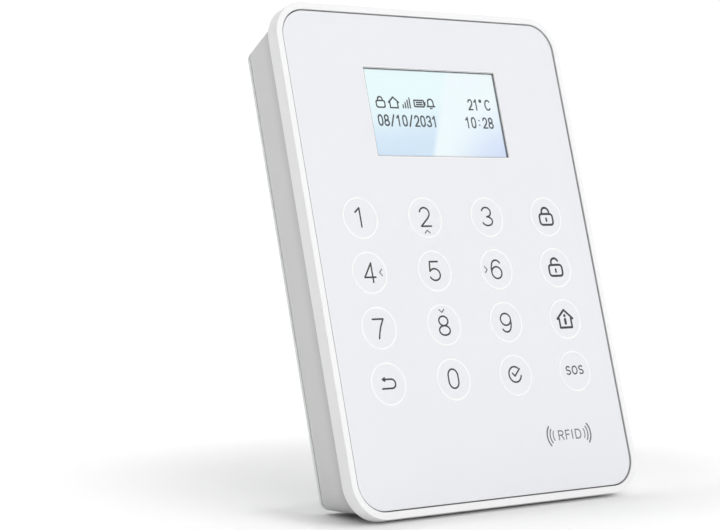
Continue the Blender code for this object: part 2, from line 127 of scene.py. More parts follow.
# The graphics sit a little to the right of the middle, and the camera aims just under the key grid.
aim = BOARD @ Vector((GRAPHIC_X, AIM_Y, -PANEL_FRONT))
camera_place = aim + KEY_X * MM * Vector(CAMERA_AWAY)
forward = Vector((math.sin(CAMERA_AZIMUTH), math.cos(CAMERA_AZIMUTH), math.tan(CAMERA_TILT)))
camera_data = bpy.data.cameras.new("camera")
camera_data.lens = CAMERA_LENS
camera_data.sensor_width = 36.0
camera_data.clip_start = 0.01
camera = bpy.data.objects.new("camera", camera_data)
camera.location = camera_place
camera.rotation_euler = forward.to_track_quat("-Z", "Y").to_euler()
bpy.context.scene.collection.objects.link(camera)
bpy.context.scene.camera = camera
print("camera at", [round(value, 4) for value in camera_place])

# %% [markdown]
# ## Sums on sockets
#
# A material is a sum: a grain times a strength, a colour mixed by a mask. Written as node after node
# it is hard to read, so a small class wraps a socket and lets Python's own signs add the Math nodes.
# One method of the graph makes every other kind of node: its settings first, then its inputs.

# %% Sums on sockets
class Value:
    """A socket that can stand in a sum."""

    def __init__(self, graph, socket):
        self.graph = graph
        self.socket = socket

    def math(self, operation, *others):
        """One Math node on this value and the others."""
        values = dict(enumerate((self, *others)))
        return self.graph.node("ShaderNodeMath", {"operation": operation}, values)

    def __add__(self, other):
        return self.math("ADD", other)

    __radd__ = __add__

    def __mul__(self, other):
        return self.math("MULTIPLY", other)

    __rmul__ = __mul__

    def __sub__(self, other):
        return self.math("SUBTRACT", other)

    def __rsub__(self, other):
        return self * -1.0 + other

    def __truediv__(self, other):
        return self.math("DIVIDE", other)

    def smooth(self, low, high):
        """0 below low, 1 above high, with a soft step between."""
        inputs = {"Value": self, "From Min": low, "From Max": high}
        return self.graph.node("ShaderNodeMapRange", {"interpolation_type": "SMOOTHSTEP"}, inputs)


class Graph:
    """A node tree that is written with one method."""

    def __init__(self, tree):
        self.tree = tree

    def node(self, kind, settings=None, inputs=None, output=0):
        """Add a node: its settings, then a value or a link for each socket named or numbered."""
        made = self.tree.nodes.new(kind)
        for name, value in (settings or {}).items():
            if name == "stops":
                self.set_stops(made.color_ramp, value)
            else:
                setattr(made, name, value)
        for name, value in (inputs or {}).items():
            if isinstance(value, Value):
                self.tree.links.new(value.socket, made.inputs[name])
            else:
                made.inputs[name].default_value = value
        return Value(self, made.outputs[output])

    @staticmethod
    def set_stops(ramp, stops):
        """Give a colour ramp its stops, as (place, colour) pairs."""
        while len(ramp.elements) < len(stops):
            ramp.elements.new(1.0)
        for element, (place, colour) in zip(ramp.elements, stops):
            element.position = place
            element.color = (*colour, 1.0)


print("sums: ready")

# %% [markdown]
# ## One recipe for every finish
#
# No real surface has one colour. Moulded plastic has a fine spark-eroded grain, a slow change of
# gloss and a hint of shade from one end to the other. Each finish below is the same recipe with its
# own numbers: grain size and depth, how much the colour wanders, and how much the gloss does. All of
# it follows Object coordinates, because every finished piece sits at the origin.

# %% The finish recipe
class Finish:
    """A Principled material that is built up from Object coordinates."""

    def __init__(self, name, roughness=0.4, **fixed):
        self.material = bpy.data.materials.new(name)
        self.material.use_nodes = True
        tree = self.material.node_tree
        self.shader = tree.nodes["Principled BSDF"]
        self.graph = Graph(tree)
        self.place = self.graph.node("ShaderNodeTexCoord", output="Object")
        self.shader.inputs["Roughness"].default_value = roughness
        for label, value in fixed.items():
            words = label.replace("_", " ").title().replace("Ior", "IOR")
            self.shader.inputs[words].default_value = value

    def link(self, label, value):
        """Feed a socket of the shader."""
        self.graph.tree.links.new(value.socket, self.shader.inputs[label])

    def noise(self, size, detail=2.0, stretch=None):
        """Noise of a size in millimetres, from 0 to 1, stretched along an axis if asked."""
        place = self.place
        if stretch:
            place = self.graph.node("ShaderNodeMapping", {}, {"Vector": place, "Scale": stretch})
        inputs = {"Vector": place, "Scale": 1.0 / (size * MM), "Detail": detail}
        return self.graph.node("ShaderNodeTexNoise", {}, inputs)

    def along(self, direction):
        """How far a point is along a direction of the drawing board, in millimetres."""
        moved = self.graph.node("ShaderNodeVectorMath", {"operation": "SUBTRACT"},
                                {0: self.place, 1: tuple(ORIGIN)})
        shade = {0: moved, 1: tuple(direction / MM)}
        return self.graph.node("ShaderNodeVectorMath", {"operation": "DOT_PRODUCT"}, shade, "Value")

    def mix(self, factor, first, second):
        """Mix two colours, which are triples or values."""
        colours = {6: first, 7: second}
        inputs = {0: factor}
        for socket, colour in colours.items():
            inputs[socket] = colour if isinstance(colour, Value) else (*colour, 1.0)
        return self.graph.node("ShaderNodeMix", {"data_type": "RGBA"}, inputs, 2)

    def colour(self, first, second, size=25.0):
        """Let the colour wander between two shades."""
        self.link("Base Color", self.mix(self.noise(size, 3.0).smooth(0.3, 0.7), first, second))
        return self

    def gloss(self, low, high, size=18.0, stretch=None):
        """Let the roughness wander between two values."""
        self.link("Roughness", self.noise(size, 3.0, stretch) * (high - low) + low)
        return self

    def grain(self, size, depth, stretch=None, detail=2.0):
        """Fine bumps of a size and a depth in millimetres."""
        height = self.noise(size, detail, stretch)
        self.bump(height, depth)
        return self

    def bump(self, height, depth):
        """Turn a height from 0 to 1 into a bump of a depth in millimetres."""
        inputs = {"Height": height, "Distance": depth * MM, "Strength": 1.0}
        self.link("Normal", self.graph.node("ShaderNodeBump", {}, inputs))
        return self


print("finish recipe: ready")

# %% [markdown]
# ## The visible finishes
#
# The rim is satin white plastic, the housing behind it a shade greyer and more matt, and the wall
# plate the same plastic with a coarser grain. Close to the rim the housing's colour is darker: painted
# shade, where it lies in the rim's shade. The touch face is acrylic painted on its back: a cool white
# under a glossy clear coat.
# The rings are ink with that same coat, and the black signs have a thinner one, so that they stay dark.
# The walls of the narrow gap round the acrylic and of the window catch little light, so their shade is
# painted on: grey in the gap, dark in the window.

# %% The visible finishes
RIM = Finish("rim_plastic", specular_ior_level=0.45)
RIM.colour((0.945, 0.945, 0.95), (0.93, 0.93, 0.935)).gloss(0.32, 0.42).grain(0.35, 0.003)

SHELL = Finish("housing_plastic", specular_ior_level=0.4)
# Painted shade: the housing's colour darkens close to the rim, where the rim shades it.
painted_rim_shade = (SHELL.along(OUT) + 16.0).smooth(0.0, 11.0)
SHELL.link("Base Color", SHELL.mix(painted_rim_shade, (0.67, 0.675, 0.67), (0.51, 0.515, 0.515)))
SHELL.gloss(0.46, 0.58).grain(0.28, 0.012)

BACK_PLASTIC = Finish("back_plastic", specular_ior_level=0.4)
BACK_PLASTIC.colour((0.80, 0.825, 0.81), (0.77, 0.795, 0.78)).gloss(0.48, 0.62).grain(0.4, 0.02)

ACRYLIC = Finish("painted_acrylic", roughness=0.2, coat_weight=1.0, coat_roughness=0.04, coat_ior=1.49)
ACRYLIC.colour((0.838, 0.848, 0.880), (0.832, 0.842, 0.873), 40.0)
ACRYLIC.gloss(0.24, 0.28, 60.0).grain(12.0, 0.002)

# White ink prints the rings, and also paints the highlight on the window's bevel and the white line round
# it.
WHITE_INK_AND_HIGHLIGHT = Finish("ring_ink", roughness=0.3, coat_weight=1.0, coat_roughness=0.05)
WHITE_INK_AND_HIGHLIGHT.colour((0.97, 0.97, 0.975), (0.94, 0.94, 0.95), 4.0).gloss(0.25, 0.35, 3.0).grain(0.3, 0.002)

SIGN_INK = Finish("sign_ink", roughness=0.35, coat_weight=0.3, coat_roughness=0.05)
SIGN_INK.colour((0.010, 0.010, 0.012), (0.018, 0.018, 0.021), 2.0).gloss(0.3, 0.4, 2.0).grain(0.2, 0.002)

# Pale ink prints the chevrons and the reader sign, and also paints the shadow line on the window's edge.
PALE_INK_AND_SHADOW = Finish("pale_ink", roughness=0.35, coat_weight=1.0, coat_roughness=0.05)
PALE_INK_AND_SHADOW.colour((0.105, 0.105, 0.115), (0.135, 0.135, 0.145), 2.0).gloss(0.3, 0.4, 2.0).grain(0.2, 0.002)

# Painted shade: the window's walls are coloured dark for the shade they lie in.
WINDOW_WALL_SHADE = Finish("window_edge", specular_ior_level=0.3)
WINDOW_WALL_SHADE.colour((0.06, 0.063, 0.066), (0.10, 0.104, 0.108), 5.0).gloss(0.5, 0.7, 3.0).grain(0.3, 0.01)

# Painted shade: the walls of the gap round the acrylic are coloured grey.
EDGE_SHADE = Finish("edge_shade", specular_ior_level=0.2)
EDGE_SHADE.colour((0.66, 0.66, 0.67), (0.72, 0.72, 0.73), 6.0).gloss(0.7, 0.9, 3.0).grain(0.3, 0.01)

RUBBER = Finish("rubber", specular_ior_level=0.35)
RUBBER.colour((0.035, 0.035, 0.036), (0.055, 0.055, 0.056), 6.0).gloss(0.65, 0.85, 4.0).grain(0.4, 0.03)

DARK_PLASTIC = Finish("dark_plastic", specular_ior_level=0.4)
DARK_PLASTIC.colour((0.03, 0.03, 0.032), (0.045, 0.045, 0.047), 6.0).gloss(0.4, 0.55, 4.0).grain(0.3, 0.015)

STEEL = Finish("plated_steel", metallic=1.0)
STEEL.colour((0.62, 0.62, 0.63), (0.52, 0.52, 0.54), 3.0).gloss(0.22, 0.42, 1.5).grain(0.3, 0.004)

MILKY = Finish("milky_plastic", specular_ior_level=0.45)
MILKY.colour((0.86, 0.86, 0.83), (0.80, 0.80, 0.77), 5.0).gloss(0.35, 0.5, 4.0).grain(0.4, 0.008)
print("visible finishes:", len(bpy.data.materials))

# %% [markdown]
# ## Meshes from the drawing board
#
# Every piece ends the same way. Its mesh is drawn in millimetres, smoothed where it is round, moved
# into the room, tied to the body that carries it and given its name, and the CAD nodes it stands in
# for are hidden.

# %% Meshes from the drawing board
def mesh_from(obj):
    """The plain mesh of an object with its modifiers applied. The object is removed."""
    graph = bpy.context.evaluated_depsgraph_get()
    mesh = bpy.data.meshes.new_from_object(obj.evaluated_get(graph), depsgraph=graph)
    bpy.data.objects.remove(obj)
    return mesh


def helper(name, mesh):
    """An object in the scene for some mesh or curve."""
    obj = bpy.data.objects.new(name, mesh)
    bpy.context.scene.collection.objects.link(obj)
    return obj


def built(name, bm):
    """The mesh that a bmesh has built up. The bmesh is freed."""
    mesh = bpy.data.meshes.new(name)
    bm.to_mesh(mesh)
    bm.free()
    return mesh


def skin(name, rings):
    """A closed solid through rings of points, with a flat cap on both ends."""
    bm = bmesh.new()
    loops = [[bm.verts.new(point) for point in ring] for ring in rings]
    count = len(loops[0])
    for near, far in zip(loops, loops[1:]):
        for index in range(count):
            after = (index + 1) % count
            bm.faces.new((near[index], near[after], far[after], far[index]))
    bm.faces.new(loops[0])
    bm.faces.new(loops[-1])
    bmesh.ops.recalc_face_normals(bm, faces=bm.faces)
    return built(name, bm)


def weighted(mesh):
    """Let large flat faces keep their own direction, so that only the rounded edges catch light."""
    obj = helper("weighting", mesh)
    modifier = obj.modifiers.new("weighting", "WEIGHTED_NORMAL")
    modifier.keep_sharp = True
    return mesh_from(obj)


def finish_piece(name, mesh, finish, body, nodes=(), sharp=32.0, placed=BOARD):
    """Turn a mesh on the drawing board into a finished piece that rides on a body."""
    mesh.shade_smooth()
    mesh.set_sharp_from_angle(angle=math.radians(sharp))
    mesh = weighted(mesh)
    mesh.transform(placed)
    mesh.update()
    if finish is not None:
        mesh.materials.clear()
        mesh.materials.append(finish.material)
    obj = helper(name, mesh)
    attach(obj, body)
    if nodes:
        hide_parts(*nodes)
    print(f"{name}: {len(mesh.polygons)} faces")
    return obj


print("helpers: ready")

# %% [markdown]
# ## Geometry node trees from a few lines
#
# The rim follows a path, the rings repeat, the ink strokes follow curves. Geometry Nodes do all three
# well. A tree gets named inputs for its sizes, and the result becomes a plain mesh, because the
# export can't carry live instances.

# %% Geometry node trees
KINDS = {float: "NodeSocketFloat", int: "NodeSocketInt", bpy.types.Object: "NodeSocketObject",
         bpy.types.Material: "NodeSocketMaterial", tuple: "NodeSocketVector"}


class Shape(Graph):
    """A Geometry Nodes tree with named inputs, which grows into a plain mesh."""

    def __init__(self, name, **inputs):
        super().__init__(bpy.data.node_groups.new(name, "GeometryNodeTree"))
        self.values = {}
        for label, value in inputs.items():
            kind = next(kind for base, kind in KINDS.items() if isinstance(value, base))
            socket = self.tree.interface.new_socket(label, in_out="INPUT", socket_type=kind)
            self.values[socket.identifier] = value
        self.tree.interface.new_socket("Geometry", in_out="OUTPUT", socket_type="NodeSocketGeometry")
        self.source = self.tree.nodes.new("NodeGroupInput")
        self.name = name

    def __getitem__(self, label):
        """The value of a named input."""
        return Value(self, self.source.outputs[label])

    def join(self, *shapes):
        """Several geometries as one."""
        made = self.tree.nodes.new("GeometryNodeJoinGeometry")
        for shape in shapes:
            self.tree.links.new(shape.socket, made.inputs[0])
        return Value(self, made.outputs[0])

    def grow(self, result):
        """End the tree in Realize Instances and Set Material, and return the plain mesh."""
        real = self.node("GeometryNodeRealizeInstances", {}, {0: result})
        painted = self.node("GeometryNodeSetMaterial", {}, {"Geometry": real, "Material": self["material"]})
        output = self.tree.nodes.new("NodeGroupOutput")
        self.tree.links.new(painted.socket, output.inputs[0])
        obj = helper(self.name, bpy.data.meshes.new(self.name))
        modifier = obj.modifiers.new(self.name, "NODES")
        modifier.node_group = self.tree
        for identifier, value in self.values.items():
            modifier[identifier] = value
        return mesh_from(obj)


def flat_curve(name, lines, closed=False):
    """One flat curve object through one or more lists of points."""
    curve = bpy.data.curves.new(name, "CURVE")
    curve.dimensions = "3D"
    for line in lines:
        spline = curve.splines.new("POLY")
        spline.points.add(len(line) - 1)
        for point, (x, y) in zip(spline.points, line):
            point.co = (x, y, 0.0, 1.0)
        spline.use_cyclic_u = closed
    return helper(name, curve)


def rounded(corners, steps=5):
    """A closed outline whose corners, given as (x, y, radius), are rounded with arcs."""
    points = []
    count = len(corners)
    for index, (x, y, radius) in enumerate(corners):
        here = Vector((x, y))
        before = (Vector(corners[index - 1][:2]) - here).normalized()
        after = (Vector(corners[(index + 1) % count][:2]) - here).normalized()
        if radius == 0.0:
            points.append(here)
            continue
        half = before.angle(after) / 2
        middle = here + (before + after).normalized() * (radius / math.sin(half))
        start = here + before * (radius / math.tan(half)) - middle
        end = here + after * (radius / math.tan(half)) - middle
        turn = start.angle_signed(end)
        for step in range(steps + 1):
            points.append(middle + Matrix.Rotation(-turn * step / steps, 2) @ start)
    return points


print("shapes: ready")

# %% [markdown]
# ## Rim
#
# The rim is one moulded profile that runs round a rounded rectangle: a flat front face, soft edges, a
# straight side band, and an inner ledge for the acrylic. Sweeping a profile along a path is exactly
# how it would be drawn by hand, so Curve to Mesh does it. The path is the outer wall, and the profile
# is measured inwards from it and back from the front.

# %% Rim
RIM_FACE = 2.35
LEDGE_FRONT = 3.7
LEDGE_WIDTH = 6.5
SHADE_START = 0.2
RIM_PROFILE = rounded([
    (0.0, 0.0, 0.2), (0.0, FRAME_DEPTH, 0.45), (-LEDGE_WIDTH, FRAME_DEPTH, 0.2),
    (-LEDGE_WIDTH, LEDGE_FRONT, 0.2), (-RIM_FACE, LEDGE_FRONT, 0.1), (-RIM_FACE, 0.0, 0.2),
])

rim = Shape("rim_sweep", width=FRAME_WIDTH, height=FRAME_HEIGHT, radius=FRAME_RADIUS, steps=20,
            profile=flat_curve("rim_profile", [RIM_PROFILE], True), material=RIM.material)
rectangle = rim.node("GeometryNodeCurvePrimitiveQuadrilateral", {}, {0: rim["width"], 1: rim["height"]})
path = rim.node("GeometryNodeFilletCurve", {"mode": "POLY"},
                {"Curve": rectangle, "Count": rim["steps"], "Radius": rim["radius"], "Limit Radius": True})
section = rim.node("GeometryNodeObjectInfo", {}, {"Object": rim["profile"]}, "Geometry")
swept = rim.node("GeometryNodeCurveToMesh", {}, {"Curve": path, "Profile Curve": section})
rim_mesh = rim.grow(swept)
rim_mesh.materials.append(EDGE_SHADE.material)
# Painted shade: the rim's inner wall beside the acrylic gets the grey edge shade.
for face in rim_mesh.polygons:
    inward = face.normal.x * face.center.x + face.normal.y * face.center.y < 0
    if inward and abs(face.normal.z) < 0.2 and -LEDGE_FRONT < face.center.z < -SHADE_START:
        face.material_index = 1
finish_piece("front_frame_rim", rim_mesh, None, "panel", ["front_frame"])

# %% [markdown]
# ## Touch face
#
# The acrylic is a rounded plate with a sharp-cornered window. A cube is stretched and its corners
# rounded, a Boolean cuts the window, and a Bevel breaks every edge by a hair, because that bright
# hairline is what shows where the plate ends. Round the window the bevel is a painted highlight in
# white ink, and the walls are painted dark as shade; the plate's outer walls and bevels are painted
# grey as the shade in the gap to the rim. Each gets its own finish by the way it faces.

# %% Touch face
PANEL_BACK = 2.5
EDGE_BREAK = 0.15
TOUCH_GAP = 0.4
CUT_MARGIN = 1.5
PANEL_WIDTH = FRAME_WIDTH - 2 * (RIM_FACE + TOUCH_GAP)
PANEL_HEIGHT = FRAME_HEIGHT - 2 * (RIM_FACE + TOUCH_GAP)
WINDOW_WIDTH = 56.9
WINDOW_HEIGHT = 30.5
WINDOW_Y = 48.85
WINDOW_LEFT = GRAPHIC_X - WINDOW_WIDTH / 2
WINDOW_RIGHT = GRAPHIC_X + WINDOW_WIDTH / 2


def block(name, low, high, radius=0.0, steps=12, axis=2):
    """A box on the drawing board between two corners, with edges along one axis rounded."""
    bm = bmesh.new()
    bmesh.ops.create_cube(bm, size=1.0)
    low, high = Vector(low), Vector(high)
    size = high - low
    bmesh.ops.scale(bm, vec=size, verts=bm.verts)
    bmesh.ops.translate(bm, vec=(low + high) / 2, verts=bm.verts)
    if radius:
        edges = [e for e in bm.edges if abs((e.verts[0].co - e.verts[1].co)[axis]) > size[axis] / 2]
        bmesh.ops.bevel(bm, geom=edges, offset=radius, segments=steps, profile=0.5, affect="EDGES")
    return helper(name, built(name, bm))


def boolean(obj, tool, operation="DIFFERENCE"):
    """Cut a tool from an object, or join it, and remove the tool."""
    modifier = obj.modifiers.new(operation, "BOOLEAN")
    modifier.operation = operation
    modifier.solver = "EXACT"
    modifier.object = tool
    name = obj.name
    made = helper(name, mesh_from(obj))
    bpy.data.objects.remove(tool)
    return made


def soften(obj, width, segments=3, angle=40.0):
    """Break every sharp edge with a small bevel. Slivers are welded shut before and after it."""
    obj.modifiers.new("slivers", "WELD").merge_threshold = 0.02
    bevel = obj.modifiers.new("soften", "BEVEL")
    bevel.width = width
    bevel.segments = segments
    bevel.limit_method = "ANGLE"
    bevel.angle_limit = math.radians(angle)
    obj.modifiers.new("remains", "WELD").merge_threshold = 0.002
    return obj


plate = block("touch_plate", (-PANEL_WIDTH / 2, -PANEL_HEIGHT / 2, -PANEL_BACK),
              (PANEL_WIDTH / 2, PANEL_HEIGHT / 2, -PANEL_FRONT), FRAME_RADIUS - RIM_FACE - TOUCH_GAP, 20)
window_cut = block("window", (WINDOW_LEFT, WINDOW_Y - WINDOW_HEIGHT / 2, -PANEL_BACK - CUT_MARGIN),
                   (WINDOW_RIGHT, WINDOW_Y + WINDOW_HEIGHT / 2, CUT_MARGIN))
plate = soften(boolean(plate, window_cut), EDGE_BREAK, 2)
plate_mesh = mesh_from(plate)
for finish in (ACRYLIC, WINDOW_WALL_SHADE, WHITE_INK_AND_HIGHLIGHT, EDGE_SHADE):
    plate_mesh.materials.append(finish.material)
for face in plate_mesh.polygons:
    beside = abs(face.center.x - GRAPHIC_X) < WINDOW_WIDTH / 2 + EDGE_BREAK
    inside = beside and abs(face.center.y - WINDOW_Y) < WINDOW_HEIGHT / 2 + EDGE_BREAK
    wall = abs(face.normal.z) < 0.1
    # Painted highlight: the window's bevel in white ink. Painted shade: its walls dark, the outer walls and
    # bevels grey.
    if inside and not (wall or face.center.z > -PANEL_FRONT - 0.001):
        face.material_index = 2
    elif inside and wall:
        face.material_index = 1
    elif abs(face.normal.z) < 0.95:
        face.material_index = 3
    else:
        face.material_index = 0
finish_piece("touch_face", plate_mesh, None, "panel", ["touch_panel"])

# %% [markdown]
# ## Key rings
#
# Sixteen printed rings on a grid of four by four. One ring is a circle swept with a flat little
# profile. A mesh grid gives the sixteen places, and the ring is put on each.

# %% Key rings
RING_RADIUS = 6.78
RING_LINE = 0.62
INK_HEIGHT = 0.03
INK_LEVEL = -PANEL_FRONT + 0.005

ring_profile = rounded([(-RING_LINE / 2, 0.0, 0.0), (-RING_LINE / 2, -INK_HEIGHT, 0.012),
                        (RING_LINE / 2, -INK_HEIGHT, 0.012), (RING_LINE / 2, 0.0, 0.0)], 2)
rings = Shape("key_rings", radius=RING_RADIUS, pitch_x=KEY_X, pitch_y=KEY_Y, columns=4, rows=4,
              profile=flat_curve("ring_profile", [ring_profile], True), material=WHITE_INK_AND_HIGHLIGHT.material)
circle = rings.node("GeometryNodeCurvePrimitiveCircle", {}, {"Resolution": 96, "Radius": rings["radius"]})
section = rings.node("GeometryNodeObjectInfo", {}, {"Object": rings["profile"]}, "Geometry")
ring = rings.node("GeometryNodeCurveToMesh", {}, {"Curve": circle, "Profile Curve": section})
grid = rings.node("GeometryNodeMeshGrid", {}, {
    "Size X": rings["pitch_x"] * 3.0, "Size Y": rings["pitch_y"] * 3.0,
    "Vertices X": rings["columns"], "Vertices Y": rings["rows"]})
placed_rings = rings.node("GeometryNodeInstanceOnPoints", {}, {"Points": grid, "Instance": ring})
ring_mesh = rings.grow(placed_rings)
ring_mesh.transform(Matrix.Translation((GRAPHIC_X, KEYS_Y, INK_LEVEL)))
finish_piece("key_rings", ring_mesh, WHITE_INK_AND_HIGHLIGHT, "panel")

# %% [markdown]
# ## Signs drawn with a pen
#
# Digits and pictograms are lines of one width with round ends, as if drawn with a technical pen. So
# each sign is a few strokes: straight points and arcs round a centre, in millimetres from the middle
# of its key. Nothing here is a typeface. The strokes become curves, and one tree turns all of them
# into flat ink with a round dot on every end.

# %% Stroke helpers
def arc(x, y, radius_x, radius_y, start, end, steps=14):
    """Points on an ellipse from one angle to another, in degrees."""
    points = []
    for step in range(steps + 1):
        angle = math.radians(start + (end - start) * step / steps)
        points.append((x + radius_x * math.cos(angle), y + radius_y * math.sin(angle)))
    return points


DIGITS = {
    "0": [arc(0.0, 0.9, 2.05, 2.3, 0, 180, 16) + arc(0.0, -0.9, 2.05, 2.3, 180, 360, 16) + [(2.05, 0.9)]],
    "1": [[(-1.75, 1.75), (0.1, 3.2), (0.1, -3.2)]],
    "2": [arc(0.0, 1.3, 2.0, 1.9, 165, -25, 14) + [(1.2, -0.35), (-2.1, -3.2), (2.1, -3.2)]],
    "3": [arc(0.0, 1.55, 1.95, 1.65, 160, -90, 14) + arc(0.0, -1.65, 2.2, 1.55, 90, -160, 14)],
    "4": [[(1.05, -3.2), (1.05, 3.2), (-2.2, -1.5), (2.25, -1.5)]],
    "5": [[(1.85, 3.2), (-1.5, 3.2), (-1.95, -0.05)] + arc(-0.05, -1.2, 2.25, 2.0, 140, -155, 16)],
    "6": [arc(0.0, -1.15, 2.2, 2.05, 0, 360, 24), [(-2.2, -1.15), (-2.15, 0.6)]
          + arc(0.15, 0.9, 2.1, 2.3, 170, 35, 12)],
    "7": [[(-2.1, 3.2), (2.2, 3.2), (0.9, 0.9), (0.05, -1.2), (-0.5, -3.2)]],
    "8": [arc(0.0, 1.6, 1.9, 1.6, 0, 360, 22), arc(0.0, -1.6, 2.25, 1.6, 0, 360, 22)],
    "9": [arc(0.0, 1.15, 2.2, 2.05, 0, 360, 24), [(2.2, 1.15), (2.15, -0.6)]
          + arc(-0.15, -0.9, 2.1, 2.3, -10, -145, 12)],
}


def shifted(strokes, x, y, scale=1.0):
    """Strokes moved to a place, and scaled about their own middle."""
    return [[(x + scale * px, y + scale * py) for px, py in stroke] for stroke in strokes]


print("digits:", len(DIGITS))

# %% [markdown]
# The pictograms: a closed and an open padlock, a house with a figure, a turn-back arrow and a ring
# with a tick. Four small chevrons show that 2, 4, 6 and 8 also move through the menu.

# %% Pictograms
def capsule(x0, y0, x1, y1, radius, steps=6):
    """A closed rounded rectangle as one stroke."""
    points = arc(x1 - radius, y1 - radius, radius, radius, 0, 90, steps)
    points += arc(x0 + radius, y1 - radius, radius, radius, 90, 180, steps)
    points += arc(x0 + radius, y0 + radius, radius, radius, 180, 270, steps)
    points += arc(x1 - radius, y0 + radius, radius, radius, 270, 360, steps)
    return points + [points[0]]


LOCK_BODY = [capsule(-3.0, -2.9, 3.0, 1.0, 1.15)]
KEYHOLE = [[(0.0, -0.6), (0.0, -1.5)]]
CLOSED_LOCK = LOCK_BODY + [[(-1.65, 1.0)] + arc(0.0, 1.65, 1.65, 1.6, 180, 0, 12) + [(1.65, 1.0)]]
OPEN_LOCK = LOCK_BODY + [[(-1.65, 1.0)] + arc(0.0, 1.75, 1.65, 1.6, 180, 25, 12)]
HOUSE = [[(-3.5, 0.2), (0.0, 3.25), (3.5, 0.2), (2.7, 0.2), (2.7, -2.95), (-2.7, -2.95), (-2.7, 0.2),
          (-3.5, 0.2)]]
FIGURE = [[(0.0, -0.1), (0.0, -1.5)], [(0.0, 1.2), (0.0, 1.25)]]
TURN_BACK = [[(-1.9, 1.5), (1.2, 1.5)] + arc(1.3, 0.0, 1.55, 1.5, 90, -90, 12) + [(-2.6, -1.5)],
             [(-1.3, 2.0), (-2.15, 1.5), (-1.3, 1.0)]]
TICK_RING = [arc(-0.2, 0.25, 2.65, 2.65, 52, 348, 30), [(-1.25, 0.7), (-0.3, -0.3), (2.1, 2.1)]]
CHEVRON = [[(-1.05, -0.45), (0.0, 0.5), (1.05, -0.45)]]
LETTER_S = [arc(0.0, 0.68, 0.85, 0.68, 35, 270, 10) + arc(0.0, -0.68, 0.9, 0.68, 90, -145, 10)]
LETTER_O = [arc(0.0, 0.0, 1.1, 1.36, 0, 360, 20)]


def turned(strokes, degrees):
    """Strokes turned about their own middle."""
    spin = Matrix.Rotation(math.radians(degrees), 2)
    return [[tuple(spin @ Vector(point)) for point in stroke] for stroke in strokes]


print("pictograms: ready")

# %% [markdown]
# Now the signs go on their keys. Strokes of one width and one ink belong together, so they are kept
# in a few lists, from the bold padlocks to the thin chevrons.

# %% The signs on their keys
PEN = 0.60
BOLD_PEN = 0.80
THIN_PEN = 0.44
FIGURE_PEN = 1.1
HELP_PEN = 0.48
READER_PEN = 0.46

KEY_ROWS = ["123", "456", "789"]
DIGIT_LIFT = 0.25


def key_place(column, row):
    """The middle of a key, counted from the left and from the top."""
    return GRAPHIC_X + (column - 1.5) * KEY_X, KEYS_Y + (1.5 - row) * KEY_Y


pen_strokes = []
for row, digits in enumerate(KEY_ROWS):
    for column, digit in enumerate(digits):
        x, y = key_place(column, row)
        pen_strokes += shifted(DIGITS[digit], x, y + (1 - row) * DIGIT_LIFT)
x, y = key_place(1, 3)
pen_strokes += shifted(DIGITS["0"], x, y + DIGIT_LIFT)
pen_strokes += shifted(TURN_BACK, *key_place(0, 3))
pen_strokes += shifted(TICK_RING, *key_place(2, 3))

bold_strokes = []
for row, sign in enumerate((CLOSED_LOCK + KEYHOLE, OPEN_LOCK + KEYHOLE, HOUSE)):
    bold_strokes += shifted(sign, *key_place(3, row))
figure_strokes = shifted(FIGURE, *key_place(3, 2))

thin_strokes = []
for (column, row), (dx, dy), degrees in [((1, 0), (0.0, -4.85), 0), ((0, 1), (4.6, 0.0), 90),
                                         ((2, 1), (-4.6, 0.0), -90), ((1, 2), (0.0, 4.75), 180)]:
    x, y = key_place(column, row)
    thin_strokes += shifted(turned(CHEVRON, degrees), x + dx, y + dy)

help_strokes = []
x, y = key_place(3, 3)
for letter, dx in [(LETTER_S, -2.95), (LETTER_O, 0.0), (LETTER_S, 2.95)]:
    help_strokes += shifted(letter, x + dx, y + 0.35)
print("strokes on the keys:", len(pen_strokes + bold_strokes + figure_strokes + thin_strokes + help_strokes))

# %% [markdown]
# The reader's sign sits low on the right: three waves on each side of four plain letters. The outer
# wave is the darkest.

# %% The reader sign
READER_X = GRAPHIC_X + 32.5
READER_Y = KEYS_Y - 49.0
# Each wave has its reach from the middle, half its height, half its angle, and its pen.
WAVES = {
    "outer": (9.9, 3.2, 41.0, 0.62),
    "middle": (8.6, 2.25, 36.0, 0.52),
    "inner": (7.25, 1.55, 31.0, 0.42),
}


def wave(reach, half, angle):
    """One wave on each side of the reader's letters."""
    radius = half / math.sin(math.radians(angle))
    right = arc(reach - radius, 0.0, radius, radius, -angle, angle, 12)
    left = [(-x, y) for x, y in right]
    return shifted([left, right], READER_X, READER_Y)


LETTER_R = [[(-1.0, -1.5), (-1.0, 1.5), (0.1, 1.5)] + arc(0.1, 0.75, 0.95, 0.75, 90, -90, 8)
            + [(-1.0, 0.0)], [(0.1, 0.0), (1.1, -1.5)]]
LETTER_F = [[(-0.7, -1.5), (-0.7, 1.5), (0.9, 1.5)], [(-0.7, 0.1), (0.7, 0.1)]]
LETTER_I = [[(0.0, -1.5), (0.0, 1.5)]]
LETTER_D = [[(-1.1, -1.5), (-1.1, 1.5), (0.0, 1.5)] + arc(0.0, 0.0, 1.3, 1.5, 90, -90, 10)
            + [(-1.1, -1.5)]]
reader_strokes = []
for letter, x in [(LETTER_R, -3.7), (LETTER_F, -0.75), (LETTER_I, 1.45), (LETTER_D, 4.1)]:
    reader_strokes += shifted(letter, READER_X + x, READER_Y)
print("reader sign:", len(reader_strokes), "strokes")

# %% [markdown]
# One tree inks any list of strokes. A stroke is swept with a flattened circle, and a flattened ball
# sits on every point, so that a line ends round and a corner has no notch. A sweep gets thin beside a
# sharp corner, so strokes are first cut there, and the balls close the joint.

# %% Ink the strokes
SHARP_TURN = math.radians(30.0)
SAME_POINT = 0.001


